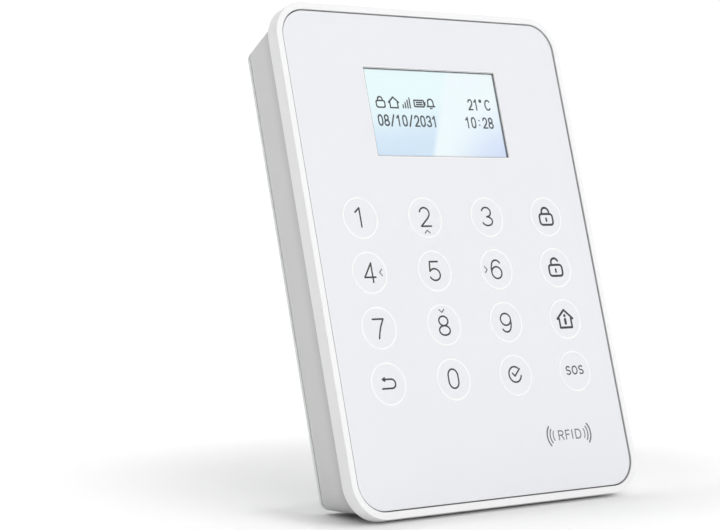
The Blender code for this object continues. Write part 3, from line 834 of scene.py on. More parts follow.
def smooth_runs(stroke):
    """A stroke without doubled points, cut at its sharp corners."""
    points = []
    for point in map(Vector, stroke):
        if not points or (point - points[-1]).length > SAME_POINT:
            points.append(point)
    runs = []
    start = 0
    for index in range(1, len(points) - 1):
        before, here, after = points[index - 1:index + 2]
        if (here - before).angle(after - here) > SHARP_TURN:
            runs.append(points[start:index + 1])
            start = index
    return runs + [points[start:]]


def stroke_curves(name, strokes):
    """One curve object that holds every stroke, cut into its smooth runs."""
    return flat_curve(name, [run for stroke in strokes for run in smooth_runs(stroke)])


def ink(name, strokes, width, finish):
    """Flat ink along strokes, a little proud of the touch face."""
    shape = Shape(name, strokes=stroke_curves(f"{name}_strokes", strokes), width=width,
                  material=finish.material)
    lines = shape.node("GeometryNodeObjectInfo", {}, {"Object": shape["strokes"]}, "Geometry")
    pen = shape.node("GeometryNodeCurvePrimitiveCircle", {},
                     {"Resolution": 12, "Radius": shape["width"] * 0.5})
    swept_line = shape.node("GeometryNodeCurveToMesh", {},
                            {"Curve": lines, "Profile Curve": pen, "Fill Caps": True})
    ball = shape.node("GeometryNodeMeshUVSphere", {},
                      {"Segments": 14, "Rings": 7, "Radius": shape["width"] * 0.5})
    corners = shape.node("GeometryNodeInstanceOnPoints", {}, {"Points": lines, "Instance": ball})
    mesh = shape.grow(shape.join(swept_line, corners))
    flat = Matrix.Diagonal((1.0, 1.0, INK_HEIGHT * 2 / width, 1.0))
    mesh.transform(Matrix.Translation((0.0, 0.0, INK_LEVEL)) @ flat)
    return finish_piece(name, mesh, finish, "panel")


ink("key_digits", pen_strokes, PEN, SIGN_INK)
ink("key_pictograms", bold_strokes, BOLD_PEN, SIGN_INK)
ink("key_figure", figure_strokes, FIGURE_PEN, SIGN_INK)
ink("key_chevrons", thin_strokes, THIN_PEN, PALE_INK_AND_SHADOW)
ink("key_help_letters", help_strokes, HELP_PEN, SIGN_INK)
for name, (reach, half, angle, pen) in WAVES.items():
    ink(f"reader_wave_{name}", wave(reach, half, angle), pen, PALE_INK_AND_SHADOW)
ink("reader_letters", reader_strokes, READER_PEN, PALE_INK_AND_SHADOW)

# %% [markdown]
# Two hairlines frame the window: a dark one on its very edge, a painted shadow, and a white one
# outside it, a painted highlight of the cut edge in the rings' white ink.

# %% Lines round the window
def window_outline(margin):
    """The window's outline as one closed stroke, a margin outside its edge."""
    half_x = WINDOW_WIDTH / 2 + margin
    half_y = WINDOW_HEIGHT / 2 + margin
    corners = [(-1, -1), (1, -1), (1, 1), (-1, 1), (-1, -1)]
    return [[(GRAPHIC_X + side_x * half_x, WINDOW_Y + side_y * half_y) for side_x, side_y in corners]]


# Painted highlight: a white line just outside the window's cut edge.
ink("window_white_line", window_outline(0.45), 0.3, WHITE_INK_AND_HIGHLIGHT)
# Painted shadow: a dark line on the window's very edge.
ink("window_dark_line", window_outline(0.22), 0.13, PALE_INK_AND_SHADOW)

# %% [markdown]
# ## Display
#
# The lit face of the display stands up into the window, a little below the acrylic. Its colour isn't
# even: the top is a pale cyan white, the lower corners turn light blue, and a soft sloping edge runs
# through it, where a painted reflection of glare ends. All of it is worked out from the place on the
# face. The face also shines by itself, and the painted glare shines with it.

# %% Display face
DISPLAY_LEVEL = -1.15
GLASS_LEVEL = -2.9
FACE_GAP = 0.3
DISPLAY = Finish("lit_display", roughness=0.12, specular_ior_level=0.5)
across = DISPLAY.along(RIGHT)
upward = DISPLAY.along(UP) - WINDOW_Y
# Painted reflection: a sloping edge of glare, fixed on the face.
painted_glare_edge = (across + upward * -0.40).smooth(0.5, 3.5)
low_left = 1.0 - (upward + across * -0.12).smooth(-11.0, 7.0)
low_right = (1.0 - upward.smooth(-16.0, 6.0)) * (across + upward * -0.5).smooth(6.0, 34.0)
left_side = DISPLAY.mix(low_left, (0.85, 0.98, 0.99), (0.66, 0.80, 0.94))
right_side = DISPLAY.mix(low_right, (0.90, 0.975, 0.995), (0.66, 0.75, 0.95))
lit_colour_and_glare = DISPLAY.mix(painted_glare_edge, left_side, right_side)
DISPLAY.link("Base Color", DISPLAY.mix(0.7, lit_colour_and_glare, (0.0, 0.0, 0.0)))
DISPLAY.link("Emission Color", lit_colour_and_glare)
DISPLAY.shader.inputs["Emission Strength"].default_value = 0.70
DISPLAY.grain(0.4, 0.001)

display_low, display_high = board_box("lcd_glass")
glass = block("display_glass", (display_low.x, display_low.y, display_low.z),
              (display_high.x, display_high.y, GLASS_LEVEL), 0.4, 3)
face_half = Vector((WINDOW_WIDTH / 2 - FACE_GAP, WINDOW_HEIGHT / 2 - FACE_GAP, 0.0))
middle = Vector((GRAPHIC_X, WINDOW_Y, 0.0))
raised = block("display_raised", middle - face_half + Vector((0, 0, GLASS_LEVEL - 0.6)),
               middle + face_half + Vector((0, 0, DISPLAY_LEVEL)))
glass = soften(boolean(glass, raised, "UNION"), 0.06, 2)
finish_piece("display_face", mesh_from(glass), DISPLAY, "panel", ["lcd_glass"])

# %% [markdown]
# ## What the display shows
#
# A dot-matrix display draws its figures with square dots. Here the strokes of the digits are sampled
# at the dot pitch, and a small square is put on every sample. The contents are generic: a row of
# status signs, a date, a temperature and a time.

# %% Display figures
DOT = 0.52
DOT_PITCH = 0.30
LCD_INK = Finish("display_dots", roughness=0.5)
LCD_INK.colour((0.012, 0.018, 0.022), (0.022, 0.028, 0.032), 3.0).gloss(0.4, 0.6, 2.0).grain(0.3, 0.001)

LCD_DIGIT = 0.56
LCD_STEP = 2.58


def display_text(text, x, y):
    """Strokes for digits and dividers, set from the left at the display's step."""
    strokes = []
    for index, character in enumerate(text):
        where = x + index * LCD_STEP
        if character in DIGITS:
            narrow = [[(px * 0.72, py) for px, py in stroke] for stroke in DIGITS[character]]
            strokes += shifted(narrow, where, y, LCD_DIGIT)
        elif character == "/":
            strokes += shifted([[(-1.3, -3.4), (1.3, 3.4)]], where, y, LCD_DIGIT)
        elif character == ":":
            strokes += shifted([[(0.0, 1.5), (0.0, 1.6)], [(0.0, -1.5), (0.0, -1.6)]], where, y, LCD_DIGIT)
        elif character == "*":
            strokes += shifted([arc(-0.9, 2.5, 0.65, 0.65, 0, 360, 10)], where, y, LCD_DIGIT)
        elif character == "C":
            strokes += shifted([arc(0.2, 0.0, 2.1, 3.1, 45, 315, 20)], where, y, LCD_DIGIT)
    return strokes


SIGNAL_BARS = [[(step - 1.5, -1.6), (step - 1.5, 0.85 * step - 0.75)] for step in range(4)]
BATTERY = [capsule(-2.4, -1.2, 2.0, 1.2, 0.3, 2), [(2.5, -0.4), (2.5, 0.4)],
           [(-1.4, -0.4), (1.1, -0.4)], [(-1.4, 0.4), (1.1, 0.4)]]
BELL = [[(-1.7, -1.0), (1.7, -1.0)], [(-1.3, -1.0), (-1.2, 0.4)] + arc(0.0, 0.5, 1.2, 1.3, 180, 0, 10)
        + [(1.3, -1.0)], [(-0.3, -1.7), (0.3, -1.7)]]

display_strokes = display_text("08/10/2031", -24.1, 46.05)
display_strokes += display_text("21*C", 16.3, 52.55)
display_strokes += display_text("10:28", 13.8, 46.05)
for sign, x, scale in [(CLOSED_LOCK, -22.9, 0.60), (HOUSE, -17.3, 0.60), (SIGNAL_BARS, -11.9, 1.0),
                       (BATTERY, -6.2, 0.95), (BELL, -1.4, 0.95)]:
    display_strokes += shifted(sign, x, 52.3, scale)

dots = Shape("display_dots", strokes=stroke_curves("display_strokes", display_strokes), dot=DOT,
             pitch=DOT_PITCH, material=LCD_INK.material)
lines = dots.node("GeometryNodeObjectInfo", {}, {"Object": dots["strokes"]}, "Geometry")
samples = dots.node("GeometryNodeCurveToPoints", {"mode": "LENGTH"},
                    {"Curve": lines, "Length": dots["pitch"]})
square = dots.node("GeometryNodeMeshCube", {}, {"Size": (DOT, DOT, 0.02)})
placed_dots = dots.node("GeometryNodeInstanceOnPoints", {}, {"Points": samples, "Instance": square})
dot_mesh = dots.grow(placed_dots)
dot_mesh.transform(Matrix.Translation((0.0, 0.0, DISPLAY_LEVEL + 0.012)))
finish_piece("display_dots", dot_mesh, LCD_INK, "panel")

# %% [markdown]
# ## Clear cover of the display
#
# A thin clear sheet closes the window. Real glass in a path tracer would keep the light from the
# display behind it, so the sheet is a mix: see-through straight on, a mirror at a glancing angle, by
# the Fresnel factor of acrylic.

# %% Clear cover
COVER = Finish("clear_cover")
clear = COVER.graph.node("ShaderNodeBsdfTransparent", {}, {"Color": (0.985, 0.995, 1.0, 1.0)})
mirror = COVER.graph.node("ShaderNodeBsdfGlossy", {}, {"Roughness": 0.03})
fresnel = COVER.graph.node("ShaderNodeFresnel", {}, {"IOR": 1.35})
smudge = COVER.noise(14.0, 2.0) * 0.01
mixed = COVER.graph.node("ShaderNodeMixShader", {}, {0: fresnel * 0.5 + smudge, 1: clear, 2: mirror})
output = next(n for n in COVER.graph.tree.nodes if n.type == "OUTPUT_MATERIAL")
COVER.graph.tree.links.new(mixed.socket, output.inputs["Surface"])

cover_low, cover_high = board_box("display_window")
cover = soften(block("cover", cover_low, cover_high), 0.05, 2)
finish_piece("display_cover", mesh_from(cover), COVER, "panel", ["display_window"])

# %% [markdown]
# ## Rear housing
#
# The housing tapers from just inside the rim to the wall, and its corners tighten as it goes, so it
# is a loft: a rounded rectangle at each depth, with the rings joined into walls. The last few rings
# turn inwards for the rounded back edge. The same function makes the wall plate, which carries the
# taper on, so the two always line up.

# %% Lofts along the taper
BACK = 29.2
TAPER_START = (FRAME_DEPTH, 2.1, 9.2)
TAPER_END = (BACK, 7.7, 3.2)


def taper_ring(depth, inward=0.0, steps=10):
    """The rounded rectangle of the taper at a depth, moved inwards."""
    share = (depth - TAPER_START[0]) / (TAPER_END[0] - TAPER_START[0])
    inset = TAPER_START[1] + share * (TAPER_END[1] - TAPER_START[1])
    radius = TAPER_START[2] + share * (TAPER_END[2] - TAPER_START[2])
    half_x = FRAME_WIDTH / 2 - inset - radius
    half_y = FRAME_HEIGHT / 2 - inset - radius
    points = []
    for corner, (side_x, side_y) in enumerate([(1, 1), (-1, 1), (-1, -1), (1, -1)]):
        points += [(side_x * half_x + (radius - inward) * math.cos(angle),
                    side_y * half_y + (radius - inward) * math.sin(angle), -depth)
                   for angle in (math.pi / 2 * (corner + step / steps) for step in range(steps + 1))]
    return points


def taper_loft(name, rings):
    """A closed solid through (depth, inward) rings of the taper."""
    return helper(name, skin(name, [taper_ring(*ring) for ring in rings]))


def edge_rings(depth, size, direction, steps=4):
    """Rings that round an edge at a depth, on the way in (-1) or on the way out (1)."""
    rings = []
    for step in range(steps + 1):
        angle = math.pi / 2 * step / steps
        rings.append((depth + direction * size * (1 - math.sin(angle)), size * (1 - math.cos(angle))))
    return rings if direction < 0 else rings[::-1]


print("loft: ready")

# %% [markdown]
# The openings go where the frame says: the charging socket, the power switch and the sound slots in
# the right wall, the pocket for the leg's hinge and the hook slots in the back. The hollow is cut
# first, so every opening has a real wall round it.

# %% Rear housing
HOUSING_BACK = 27.0
WALL = 2.2
PLATE_TRAVEL = 6.0
SWITCH_TRAVEL = 3.0
HOOK_HALF = 4.0
HOOKS = [(-30.0, 52.0), (30.0, 52.0), (-30.0, -60.0), (30.0, -60.0)]
SOUND_SLOTS = [42.0, 46.0, 50.0, 54.0]
POCKET_HALF = 22.6
POCKET_FLOOR = -25.4
GAP = 0.4
# A cut through the side wall runs between these places along X, and one through the back along Z.
SIDE_IN, SIDE_OUT = 50.0, 62.0
BACK_OUT, BACK_IN = -28.0, -22.0

shell = taper_loft("rear_shell", edge_rings(FRAME_DEPTH + 0.3, 0.35, 1) + edge_rings(HOUSING_BACK, 0.5, -1))
hollow = taper_loft("shell_hollow", [(FRAME_DEPTH - 1.0, WALL), (HOUSING_BACK - WALL, WALL)])
shell = boolean(shell, hollow)
pin_low, pin_high = board_box("leg_pin")
hinge_y = (pin_low.y + pin_high.y) / 2
hinge_z = (pin_low.z + pin_high.z) / 2
pad = block("pad", (-POCKET_HALF - 1.9, hinge_y - 10.5, POCKET_FLOOR - 0.6),
            (POCKET_HALF + 1.9, hinge_y + 7.0, POCKET_FLOOR + 1.8))
pocket = block("pocket", (-POCKET_HALF, hinge_y - PLATE_TRAVEL - 2.6, BACK_OUT),
               (POCKET_HALF, hinge_y + 4.6, POCKET_FLOOR))
shell = boolean(boolean(shell, pad, "UNION"), pocket)
socket_low, socket_high = board_box("usb_socket")
slider_low, slider_high = board_box("power_switch_slider")
tamper_low, tamper_high = board_box("tamper_plunger")
openings = [
    block("usb", (SIDE_IN, socket_low.y - GAP, socket_low.z - 0.3),
          (SIDE_OUT, socket_high.y + GAP, socket_high.z + 0.3), 1.3, 6, 0),
    block("slot", (53.7, slider_low.y - GAP, slider_low.z - GAP),
          (SIDE_OUT, slider_high.y + SWITCH_TRAVEL + GAP, slider_high.z + GAP), 0.6, 4, 0),
    block("tamper", (-2.3, tamper_low.y + 1.2, BACK_OUT), (2.3, tamper_high.y - 1.2, BACK_IN), 2.25, 8),
]
for x, y in HOOKS:
    openings.append(block("hook", (x - HOOK_HALF - 0.5, y - PLATE_TRAVEL - 1.5, BACK_OUT),
                          (x + HOOK_HALF + 0.5, y + 1.5, BACK_IN)))
for y in SOUND_SLOTS:
    openings.append(block("sound", (SIDE_IN, y - 0.8, -19.0), (SIDE_OUT, y + 0.8, -11.5), 0.75, 4, 0))
for opening in openings:
    shell = boolean(shell, opening)
finish_piece("rear_shell", mesh_from(soften(shell, 0.12, 2, 50.0)), SHELL, "panel",
             ["rear_housing"])

# %% [markdown]
# ## Wall plate
#
# The plate has rounded edges, countersunk screw holes, a slot for the tamper button and an open notch
# for the leg, with an ear on each side of the notch for the pin. Ribs keep a moulded plate flat, so
# shallow grooves leave a row of them on each side of its outer face. Four hooks hold it to the housing.

# %% Wall plate
PLATE_FRONT = 27.3
WALL_HOLES = [(-42.0, 66.0), (42.0, 66.0), (-42.0, -66.0), (42.0, -66.0)]
SCREW_RADIUS = 2.2
NOTCH = 15.4
PLATE_OUT, PLATE_IN = -31.0, -26.0
GROOVES = 6
GROOVE_START = 22.0
GROOVE_STEP = 5.0
GROOVE_HALF = 1.6
GROOVE_FLOOR = -28.75
HOOK_IN = -23.0
EAR_RADIUS = 1.7
BORE_RADIUS = 1.1


def drum(name, x, y, low, high, radius_low, radius_high, sides=40, along="Z"):
    """A cylinder or cone on the drawing board, along Z or along X."""
    bm = bmesh.new()
    bmesh.ops.create_cone(bm, cap_ends=True, segments=sides, radius1=radius_low, radius2=radius_high,
                          depth=high - low)
    if along == "X":
        bmesh.ops.rotate(bm, verts=bm.verts, matrix=Matrix.Rotation(math.pi / 2, 3, "Y"))
        bmesh.ops.translate(bm, vec=((low + high) / 2, x, y), verts=bm.verts)
    else:
        bmesh.ops.translate(bm, vec=(x, y, (low + high) / 2), verts=bm.verts)
    return helper(name, built(name, bm))


wall_plate = taper_loft("wall_plate", edge_rings(PLATE_FRONT, 0.25, 1, 3) + edge_rings(BACK, 0.45, -1))
cuts = [block("notch", (-NOTCH, -100.0, PLATE_OUT), (NOTCH, hinge_y + 4.4, PLATE_IN)),
        block("tamper_slot", (-2.5, tamper_low.y + 1.0, PLATE_OUT), (2.5, tamper_high.y + 5.0, PLATE_IN),
              2.3, 6)]
for x, y in WALL_HOLES:
    cuts.append(drum("screw_hole", x, y, PLATE_OUT, PLATE_IN, SCREW_RADIUS, SCREW_RADIUS))
    cuts.append(drum("sink", x, y, -30.2, -28.0, 2 * SCREW_RADIUS, SCREW_RADIUS))
for side in (-1, 1):
    for index in range(GROOVES):
        x = side * (GROOVE_START + GROOVE_STEP * index)
        cuts.append(block("groove", (x - GROOVE_HALF, -56.0, -30.0), (x + GROOVE_HALF, 57.0, GROOVE_FLOOR),
                          1.4, 6))
for cut in cuts:
    wall_plate = boolean(wall_plate, cut)
for x, y in HOOKS:
    stem = block("stem", (x - HOOK_HALF, y - 1.0, -28.0), (x + HOOK_HALF, y + 1.0, HOOK_IN))
    toe = block("toe", (x - HOOK_HALF, y - 0.8, HOOK_IN - 1.5), (x + HOOK_HALF, y + 5.0, HOOK_IN))
    wall_plate = boolean(boolean(wall_plate, stem, "UNION"), toe, "UNION")
for side in (-1, 1):
    low, high = sorted((side * NOTCH, side * 22.0))
    ear = drum("ear", hinge_y, hinge_z, low, high, EAR_RADIUS, EAR_RADIUS, 32, "X")
    low, high = sorted((side * 14.0, side * 21.3))
    bore = drum("bore", hinge_y, hinge_z, low, high, BORE_RADIUS, BORE_RADIUS, 24, "X")
    wall_plate = boolean(boolean(wall_plate, ear, "UNION"), bore)
finish_piece("wall_plate_moulding", mesh_from(soften(wall_plate, 0.1, 2, 50.0)), BACK_PLASTIC, "bracket",
             ["wall_plate"])

# %% [markdown]
# ## Desk leg
#
# The leg is drawn folded, flat in its own board, and then turned out about the pin as it stands. Its
# own board is the drawing board turned by the angle between the plate and the CAD leg. Ribs on the
# back stiffen it and give the finger a grip, and a rubber shoe with grooves stops it from sliding.

# %% Desk leg
leg_points = [TO_BOARD @ vertex.co for vertex in frame["nodes"]["foot_pad"].data.vertices]
pad_middle = sum(leg_points, Vector()) / len(leg_points)
arm = Vector((0.0, pad_middle.y - hinge_y, pad_middle.z - hinge_z))
PAD_MIDDLE = Vector((0.0, -55.8, -0.85))
open_angle = math.atan2(-arm.z, -arm.y) - math.atan2(-PAD_MIDDLE.z, -PAD_MIDDLE.y)
LEG_BOARD = (BOARD @ Matrix.Translation((0.0, hinge_y, hinge_z))
             @ Matrix.Rotation(open_angle, 4, "X"))
LEG_HALF = 15.0
LEG_BACK, LEG_FRONT = -1.75, 0.05
LEG_END = -53.7
LEG_RIBS = 5
RIB_STEP = 7.0
SHOE_GROOVES = 11
GROOVE_PITCH = 2.5

leg = block("leg", (-LEG_HALF, LEG_END, LEG_BACK), (LEG_HALF, 4.0, LEG_FRONT), 1.2, 5)
barrel = drum("barrel", 0.0, 0.0, -LEG_HALF, LEG_HALF, EAR_RADIUS, EAR_RADIUS, 40, "X")
leg = boolean(leg, barrel, "UNION")
bore = drum("bore", 0.0, 0.0, -LEG_HALF - 1.0, LEG_HALF + 1.0, BORE_RADIUS, BORE_RADIUS, 24, "X")
leg = boolean(leg, bore)
leg = boolean(leg, block("hollow", (-11.5, -47.0, -3.0), (11.5, -8.0, -1.15), 2.0, 6))
for index in range(LEG_RIBS):
    y = -14.0 - RIB_STEP * index
    leg = boolean(leg, block("rib", (-11.8, y - 0.5, LEG_BACK), (11.8, y + 0.5, -1.0)), "UNION")
print("leg open by", round(math.degrees(open_angle), 2), "degrees")
finish_piece("desk_leg", mesh_from(soften(leg, 0.15, 2, 50.0)), BACK_PLASTIC, "leg",
             ["stand_leg"], placed=LEG_BOARD)

shoe = block("shoe", (-LEG_HALF, -57.6, LEG_BACK), (LEG_HALF, -54.0, LEG_FRONT), 0.85, 8, 0)
for index in range(SHOE_GROOVES):
    x = GROOVE_PITCH * (index - (SHOE_GROOVES - 1) / 2)
    shoe = boolean(shoe, block("groove", (x - 0.3, -58.0, -3.0), (x + 0.3, -57.25, 1.0)))
finish_piece("leg_shoe", mesh_from(soften(shoe, 0.1, 2, 50.0)), RUBBER, "leg", ["foot_pad"],
             placed=LEG_BOARD)

# %% [markdown]
# ## Pin
#
# The pin is a turned piece, so it is a profile spun round its axis: a straight shank with a small
# chamfer on both ends.

# %% Pin
def turned_piece(name, profile, sides=32):
    """A closed solid of revolution round X, from (radius, place along X) points."""
    turns = [2 * math.pi * index / sides for index in range(sides)]
    return skin(name, [[(place, radius * math.cos(angle), radius * math.sin(angle)) for angle in turns]
                       for radius, place in profile])


PIN_HALF = 21.0
PIN_RADIUS = 0.8
PIN_TIP = 0.55
PIN_CHAMFER = 0.3
pin_mesh = turned_piece("pin", [(PIN_TIP, -PIN_HALF), (PIN_RADIUS, PIN_CHAMFER - PIN_HALF),
                                (PIN_RADIUS, PIN_HALF - PIN_CHAMFER), (PIN_TIP, PIN_HALF)])
pin_mesh.transform(Matrix.Translation((0.0, hinge_y, hinge_z)))
finish_piece("hinge_pin", pin_mesh, STEEL, "bracket", ["leg_pin"])

# %% [markdown]
# ## Charging socket, switch and tamper button
#
# The socket is a folded steel shell with a tongue that carries the contacts. The contacts and the grip
# ridges of the switch repeat, so a tree puts each in a row. The tamper button is a turned plunger with
# a domed tip.

# %% Charging socket
SOCKET_WALL = 0.45
MOUTH_OUT = 58.0
TONGUE = Vector((0.0, 3.2, 0.35))
socket_middle = (socket_low + socket_high) / 2
socket = block("socket", socket_low, socket_high, 1.2, 8, 0)
mouth = block("mouth", (SIDE_IN, socket_low.y + SOCKET_WALL, socket_low.z + SOCKET_WALL),
              (MOUTH_OUT, socket_high.y - SOCKET_WALL, socket_high.z - SOCKET_WALL), 0.85, 8, 0)
socket = soften(boolean(socket, mouth), 0.08, 2, 50.0)
finish_piece("socket_shell", mesh_from(socket), STEEL, "panel", ["usb_socket"])
tongue = soften(block("tongue", (SIDE_IN, *(socket_middle - TONGUE).yz),
                      (socket_high.x - 0.8, *(socket_middle + TONGUE).yz)), 0.12)
finish_piece("socket_tongue", mesh_from(tongue), DARK_PLASTIC, "panel")


def box_row(name, count, step, size, finish):
    """A row of equal small boxes, up the drawing board."""
    shape = Shape(name, count=count, step=(0.0, step, 0.0), size=size, material=finish.material)
    row = shape.node("GeometryNodeMeshLine", {}, {"Count": shape["count"], "Offset": shape["step"]})
    box = shape.node("GeometryNodeMeshCube", {}, {"Size": shape["size"]})
    return shape.grow(shape.node("GeometryNodeInstanceOnPoints", {}, {"Points": row, "Instance": box}))


contact_mesh = box_row("socket_contacts", 6, 1.0, (3.6, 0.45, 0.06), STEEL)
contact_place = Vector((socket_high.x - 3.0, socket_middle.y - 2.5, socket_middle.z + 0.37))
contact_mesh.transform(Matrix.Translation(contact_place))
finish_piece("socket_contacts", contact_mesh, STEEL, "panel")

# %% [markdown]
# The slider stands in its slot and moves along it. A narrower tail reaches through to the switch.

# %% Power switch slider
slider = block("slider", (53.8, slider_low.y, slider_low.z),
               (slider_high.x - 0.5, slider_high.y, slider_high.z))
slider = boolean(slider, block("tail", (slider_low.x, slider_low.y + 0.6, slider_low.z + 0.4),
                               (54.5, slider_high.y - 0.6, slider_high.z - 0.4)), "UNION")
slider_mesh = mesh_from(soften(slider, 0.12, 2, 50.0))
finish_piece("switch_slider", slider_mesh, DARK_PLASTIC, "power_slider",
             ["power_switch_slider"])
ridge_size = (0.5, 0.32, slider_high.z - slider_low.z - 0.1)
ridge_mesh = box_row("switch_ridges", 4, 0.62, ridge_size, DARK_PLASTIC)
ridge_mesh.transform(Matrix.Translation((slider_high.x - 0.28, slider_low.y + 0.37,
                                         (slider_low.z + slider_high.z) / 2)))
finish_piece("switch_slider_ridges", ridge_mesh, DARK_PLASTIC, "power_slider")

# %% [markdown]
# The button's profile runs from the switch, over the flange that the spring pushes on, to the tip.

# %% Tamper button
tamper_y = (tamper_low.y + tamper_high.y) / 2
tip = -tamper_low.z
STEM = [(1.1, 16.2), (1.4, 16.5), (1.4, 22.6)]
FLANGE = [(3.3, 22.6), (3.5, 22.8), (3.5, 24.2), (3.3, 24.4)]
DOME = [(1.85, tip - 0.4), (1.5, tip - 0.15), (0.9, tip - 0.03), (0.3, tip)]
profile = STEM + FLANGE + [(2.0, 24.4), (2.0, tip - 0.8)] + DOME
button_mesh = turned_piece("button", profile, 40)
button_mesh.transform(Matrix.Translation((0.0, tamper_y, 0.0)) @ Matrix.Rotation(math.pi / 2, 4, "Y"))
finish_piece("tamper_button", button_mesh, MILKY, "tamper_button", ["tamper_plunger"])

# %% [markdown]
# The spring under the button is a wire on a spiral, standing on the switch. It gets a mesh of its own.

# %% Tamper spring
WIRE = 0.25
SPRING_TURNS = 4.0
spring_low, spring_high = board_box("tamper_spring")
spring = Shape("tamper_spring", radius=(spring_high.x - spring_low.x) / 2 - WIRE, turns=SPRING_TURNS,
               height=spring_high.z - spring_low.z - 2 * WIRE, wire=WIRE, material=STEEL.material)
spiral = spring.node("GeometryNodeCurveSpiral", {}, {
    "Resolution": 32, "Rotations": spring["turns"], "Start Radius": spring["radius"],
    "End Radius": spring["radius"], "Height": spring["height"]})
wire = spring.node("GeometryNodeCurvePrimitiveCircle", {}, {"Resolution": 12, "Radius": spring["wire"]})
spring_mesh = spring.grow(spring.node("GeometryNodeCurveToMesh", {}, {
    "Curve": spiral, "Profile Curve": wire, "Fill Caps": True}))
spring_mesh.transform(Matrix.Translation((0.0, tamper_y, spring_low.z + WIRE)))
spring_piece = finish_piece("button_spring", spring_mesh, STEEL, "panel", ["tamper_spring"])
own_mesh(spring_piece)

# %% [markdown]
# ## Finishes for what is inside
#
# The boards, cell and screws are hidden, but they are real pieces and each has its own surface: green
# solder mask over copper tracks, moulded chips, foil, flat cable. The CAD solids keep their shape and
# get these finishes.

# %% Finishes inside
BOARD_MASK = Finish("solder_mask", specular_ior_level=0.5)
tracks = BOARD_MASK.graph.node("ShaderNodeTexBrick", {"offset": 0.5}, {
    "Vector": BOARD_MASK.place, "Scale": 260.0, "Mortar Size": 0.08, "Color1": (0.0, 0.0, 0.0, 1.0),
    "Color2": (0.35, 0.35, 0.35, 1.0), "Mortar": (1.0, 1.0, 1.0, 1.0)}, "Fac")
BOARD_MASK.link("Base Color", BOARD_MASK.mix(tracks, (0.012, 0.11, 0.05), (0.03, 0.22, 0.10)))
BOARD_MASK.gloss(0.25, 0.4, 6.0).bump(tracks, 0.03)

CHIP = Finish("chip_epoxy")
CHIP.colour((0.02, 0.02, 0.021), (0.035, 0.035, 0.036), 4.0).gloss(0.45, 0.65, 3.0).grain(0.12, 0.01)

COPPER = Finish("bare_copper", metallic=1.0)
COPPER.colour((0.80, 0.42, 0.26), (0.68, 0.33, 0.19), 3.0).gloss(0.2, 0.4, 2.0).grain(0.2, 0.005)

FLAT_CABLE = Finish("flat_cable")
stripes = FLAT_CABLE.graph.node("ShaderNodeTexWave", {"bands_direction": "X"},
                                {"Vector": FLAT_CABLE.place, "Scale": 260.0})
FLAT_CABLE.link("Base Color", FLAT_CABLE.mix(stripes, (0.72, 0.40, 0.10), (0.86, 0.58, 0.24)))
FLAT_CABLE.gloss(0.25, 0.4, 4.0)

FOIL = Finish("cell_foil", metallic=0.35)
FOIL.colour((0.34, 0.36, 0.40), (0.42, 0.44, 0.48), 6.0).gloss(0.25, 0.45, 3.0).grain(2.0, 0.05)

FOAM = Finish("foam_tape")
cells = FOAM.graph.node("ShaderNodeTexVoronoi", {}, {"Vector": FOAM.place, "Scale": 3000.0}, "Distance")
FOAM.link("Base Color", FOAM.mix(cells, (0.02, 0.02, 0.02), (0.10, 0.10, 0.10)))
FOAM.gloss(0.8, 0.95, 3.0).bump(cells, 0.08)

INSIDE = {
    BOARD_MASK: ["touch_board", "rfid_board", "main_board"],
    CHIP: ["processor_chip", "buzzer"],
    COPPER: ["rfid_coil", "antenna_wire"],
    FLAT_CABLE: ["lcd_ribbon", "keypad_ribbon"],
    FOIL: ["battery_pack"],
    FOAM: ["panel_adhesive"],
    MILKY: ["light_guide", "lcd_backlight", "battery_connector"],
    DARK_PLASTIC: ["lcd_holder", "battery_tray", "power_switch_body", "tamper_switch_body"],
    RUBBER: ["battery_lead"],
    STEEL: ["radio_module"] + [f"housing_screw_{n}" for n in range(1, 5)]
    + [f"board_screw_{n}" for n in range(1, 5)],
}
for finish, nodes in INSIDE.items():
    for node in nodes:
        mesh = frame["nodes"][node].data
        mesh.materials.clear()
        mesh.materials.append(finish.material)
print("inside:", sum(len(nodes) for nodes in INSIDE.values()), "pieces")

# %% [markdown]
# ## Studio
#
# A pale floor runs up into a pale wall, and soft light comes from all round. On the left the light is
# blocked, as by a dark card, so that the housing's side reads as a shade of grey. Only the light sees
# the card: to the camera the background stays white. The paper also shines by itself, a painted light
# that burns it out to plain white further off; near the panel and round its foot that light fades,
# and the fade is its painted soft shadow.

# %% Studio
STUDIO_LEVEL = 1.09
CARD_SIDE = (-0.93, 0.36, 0.0)
SHADOW_MIDDLE = (0.05, 0.05, 0.0)
FOOT_MIDDLE = (0.0, -0.014, 0.0)
FOOT_HALF = (0.058, 0.02, 0.01)
WALL_FOOT = 1.2
WALL_STEPS = 12

FLOOR = Finish("studio_paper", roughness=0.9, specular_ior_level=0.1)
FLOOR.colour((0.93, 0.93, 0.93), (0.95, 0.95, 0.95), 300.0).gloss(0.85, 0.95, 60.0).grain(0.8, 0.01)
away = FLOOR.graph.node("ShaderNodeVectorMath", {"operation": "DISTANCE"},
                        {0: FLOOR.place, 1: SHADOW_MIDDLE}, "Value")
offset = FLOOR.place
for operation, other in [("SUBTRACT", FOOT_MIDDLE), ("ABSOLUTE", None), ("SUBTRACT", FOOT_HALF),
                         ("MAXIMUM", (0.0, 0.0, 0.0))]:
    inputs = {0: offset} if other is None else {0: offset, 1: other}
    offset = FLOOR.graph.node("ShaderNodeVectorMath", {"operation": operation}, inputs)
beside = FLOOR.graph.node("ShaderNodeVectorMath", {"operation": "LENGTH"}, {0: offset}, "Value")
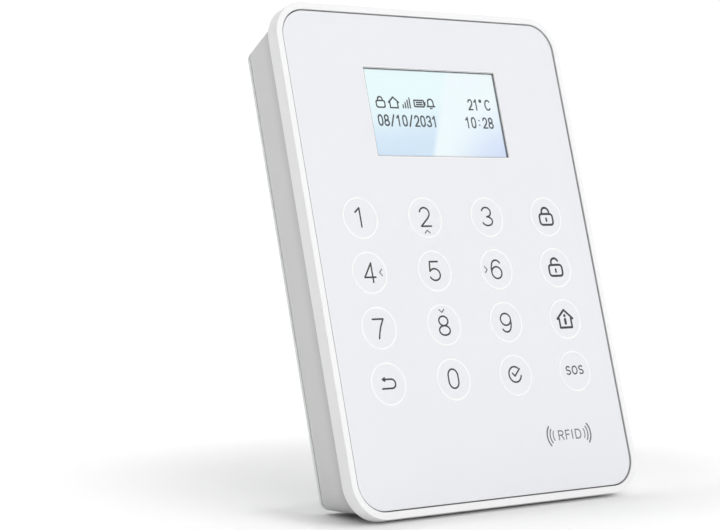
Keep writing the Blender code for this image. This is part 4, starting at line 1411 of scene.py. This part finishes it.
# Painted light and shadow: the paper's own light fades near the panel and round its foot.
painted_light_and_shadow = away.smooth(0.06, 0.16) * beside.smooth(0.0, 0.018)
FLOOR.link("Emission Color", FLOOR.mix(painted_light_and_shadow, (0.0, 0.0, 0.0), (1.0, 1.0, 1.0)))
FLOOR.shader.inputs["Emission Strength"].default_value = 0.19

sweep = [(-3.0, 0.0), (WALL_FOOT, 0.0)]
for step in range(1, WALL_STEPS + 1):
    angle = math.pi / 2 * step / WALL_STEPS
    sweep.append((WALL_FOOT + math.sin(angle), 1.0 - math.cos(angle)))
sweep.append((WALL_FOOT + 1.0, 5.0))
bm = bmesh.new()
rows = [[bm.verts.new((side, y, z)) for side in (-6.0, 6.0)] for y, z in sweep]
for near, far in zip(rows, rows[1:]):
    bm.faces.new((near[0], near[1], far[1], far[0]))
paper_mesh = built("studio_paper", bm)
paper_mesh.shade_smooth()
paper_mesh.materials.append(FLOOR.material)
paper = bpy.data.objects.new("studio_paper", paper_mesh)
paper.location.z = -0.0002
bpy.context.scene.collection.objects.link(paper)


def soft_light(name, place, target, size, power):
    """A square area light that looks at a target."""
    data = bpy.data.lights.new(name, "AREA")
    data.shape = "RECTANGLE"
    data.size, data.size_y = size
    data.energy = power
    light = bpy.data.objects.new(name, data)
    light.location = place
    light.rotation_euler = (Vector(target) - Vector(place)).to_track_quat("-Z", "Y").to_euler()
    bpy.context.scene.collection.objects.link(light)
    return light


soft_light("key_light", (0.5, -1.4, 0.9), (0.0, 0.0, 0.08), (0.8, 0.8), 1.5)

world = bpy.data.worlds.new("studio")
world.use_nodes = True
sky = Graph(world.node_tree)
direction = sky.node("ShaderNodeTexCoord", output="Generated")
card = sky.node("ShaderNodeVectorMath", {"operation": "DOT_PRODUCT"}, {0: direction, 1: CARD_SIDE}, "Value")
light_level = (1.0 - card.smooth(-0.1, 0.75)) * STUDIO_LEVEL
seen = sky.node("ShaderNodeLightPath")
backdrop = seen + (1.0 - seen) * light_level
world.node_tree.links.new(backdrop.socket, world.node_tree.nodes["Background"].inputs["Strength"])
world.node_tree.nodes["Background"].inputs["Color"].default_value = (1.0, 1.0, 1.0, 1.0)
bpy.context.scene.world = world
bpy.context.scene.view_settings.view_transform = "Standard"
print("studio: ready")

# %% Finish
for leftover in [o for o in bpy.data.objects if o.type == "CURVE"]:
    bpy.data.objects.remove(leftover)
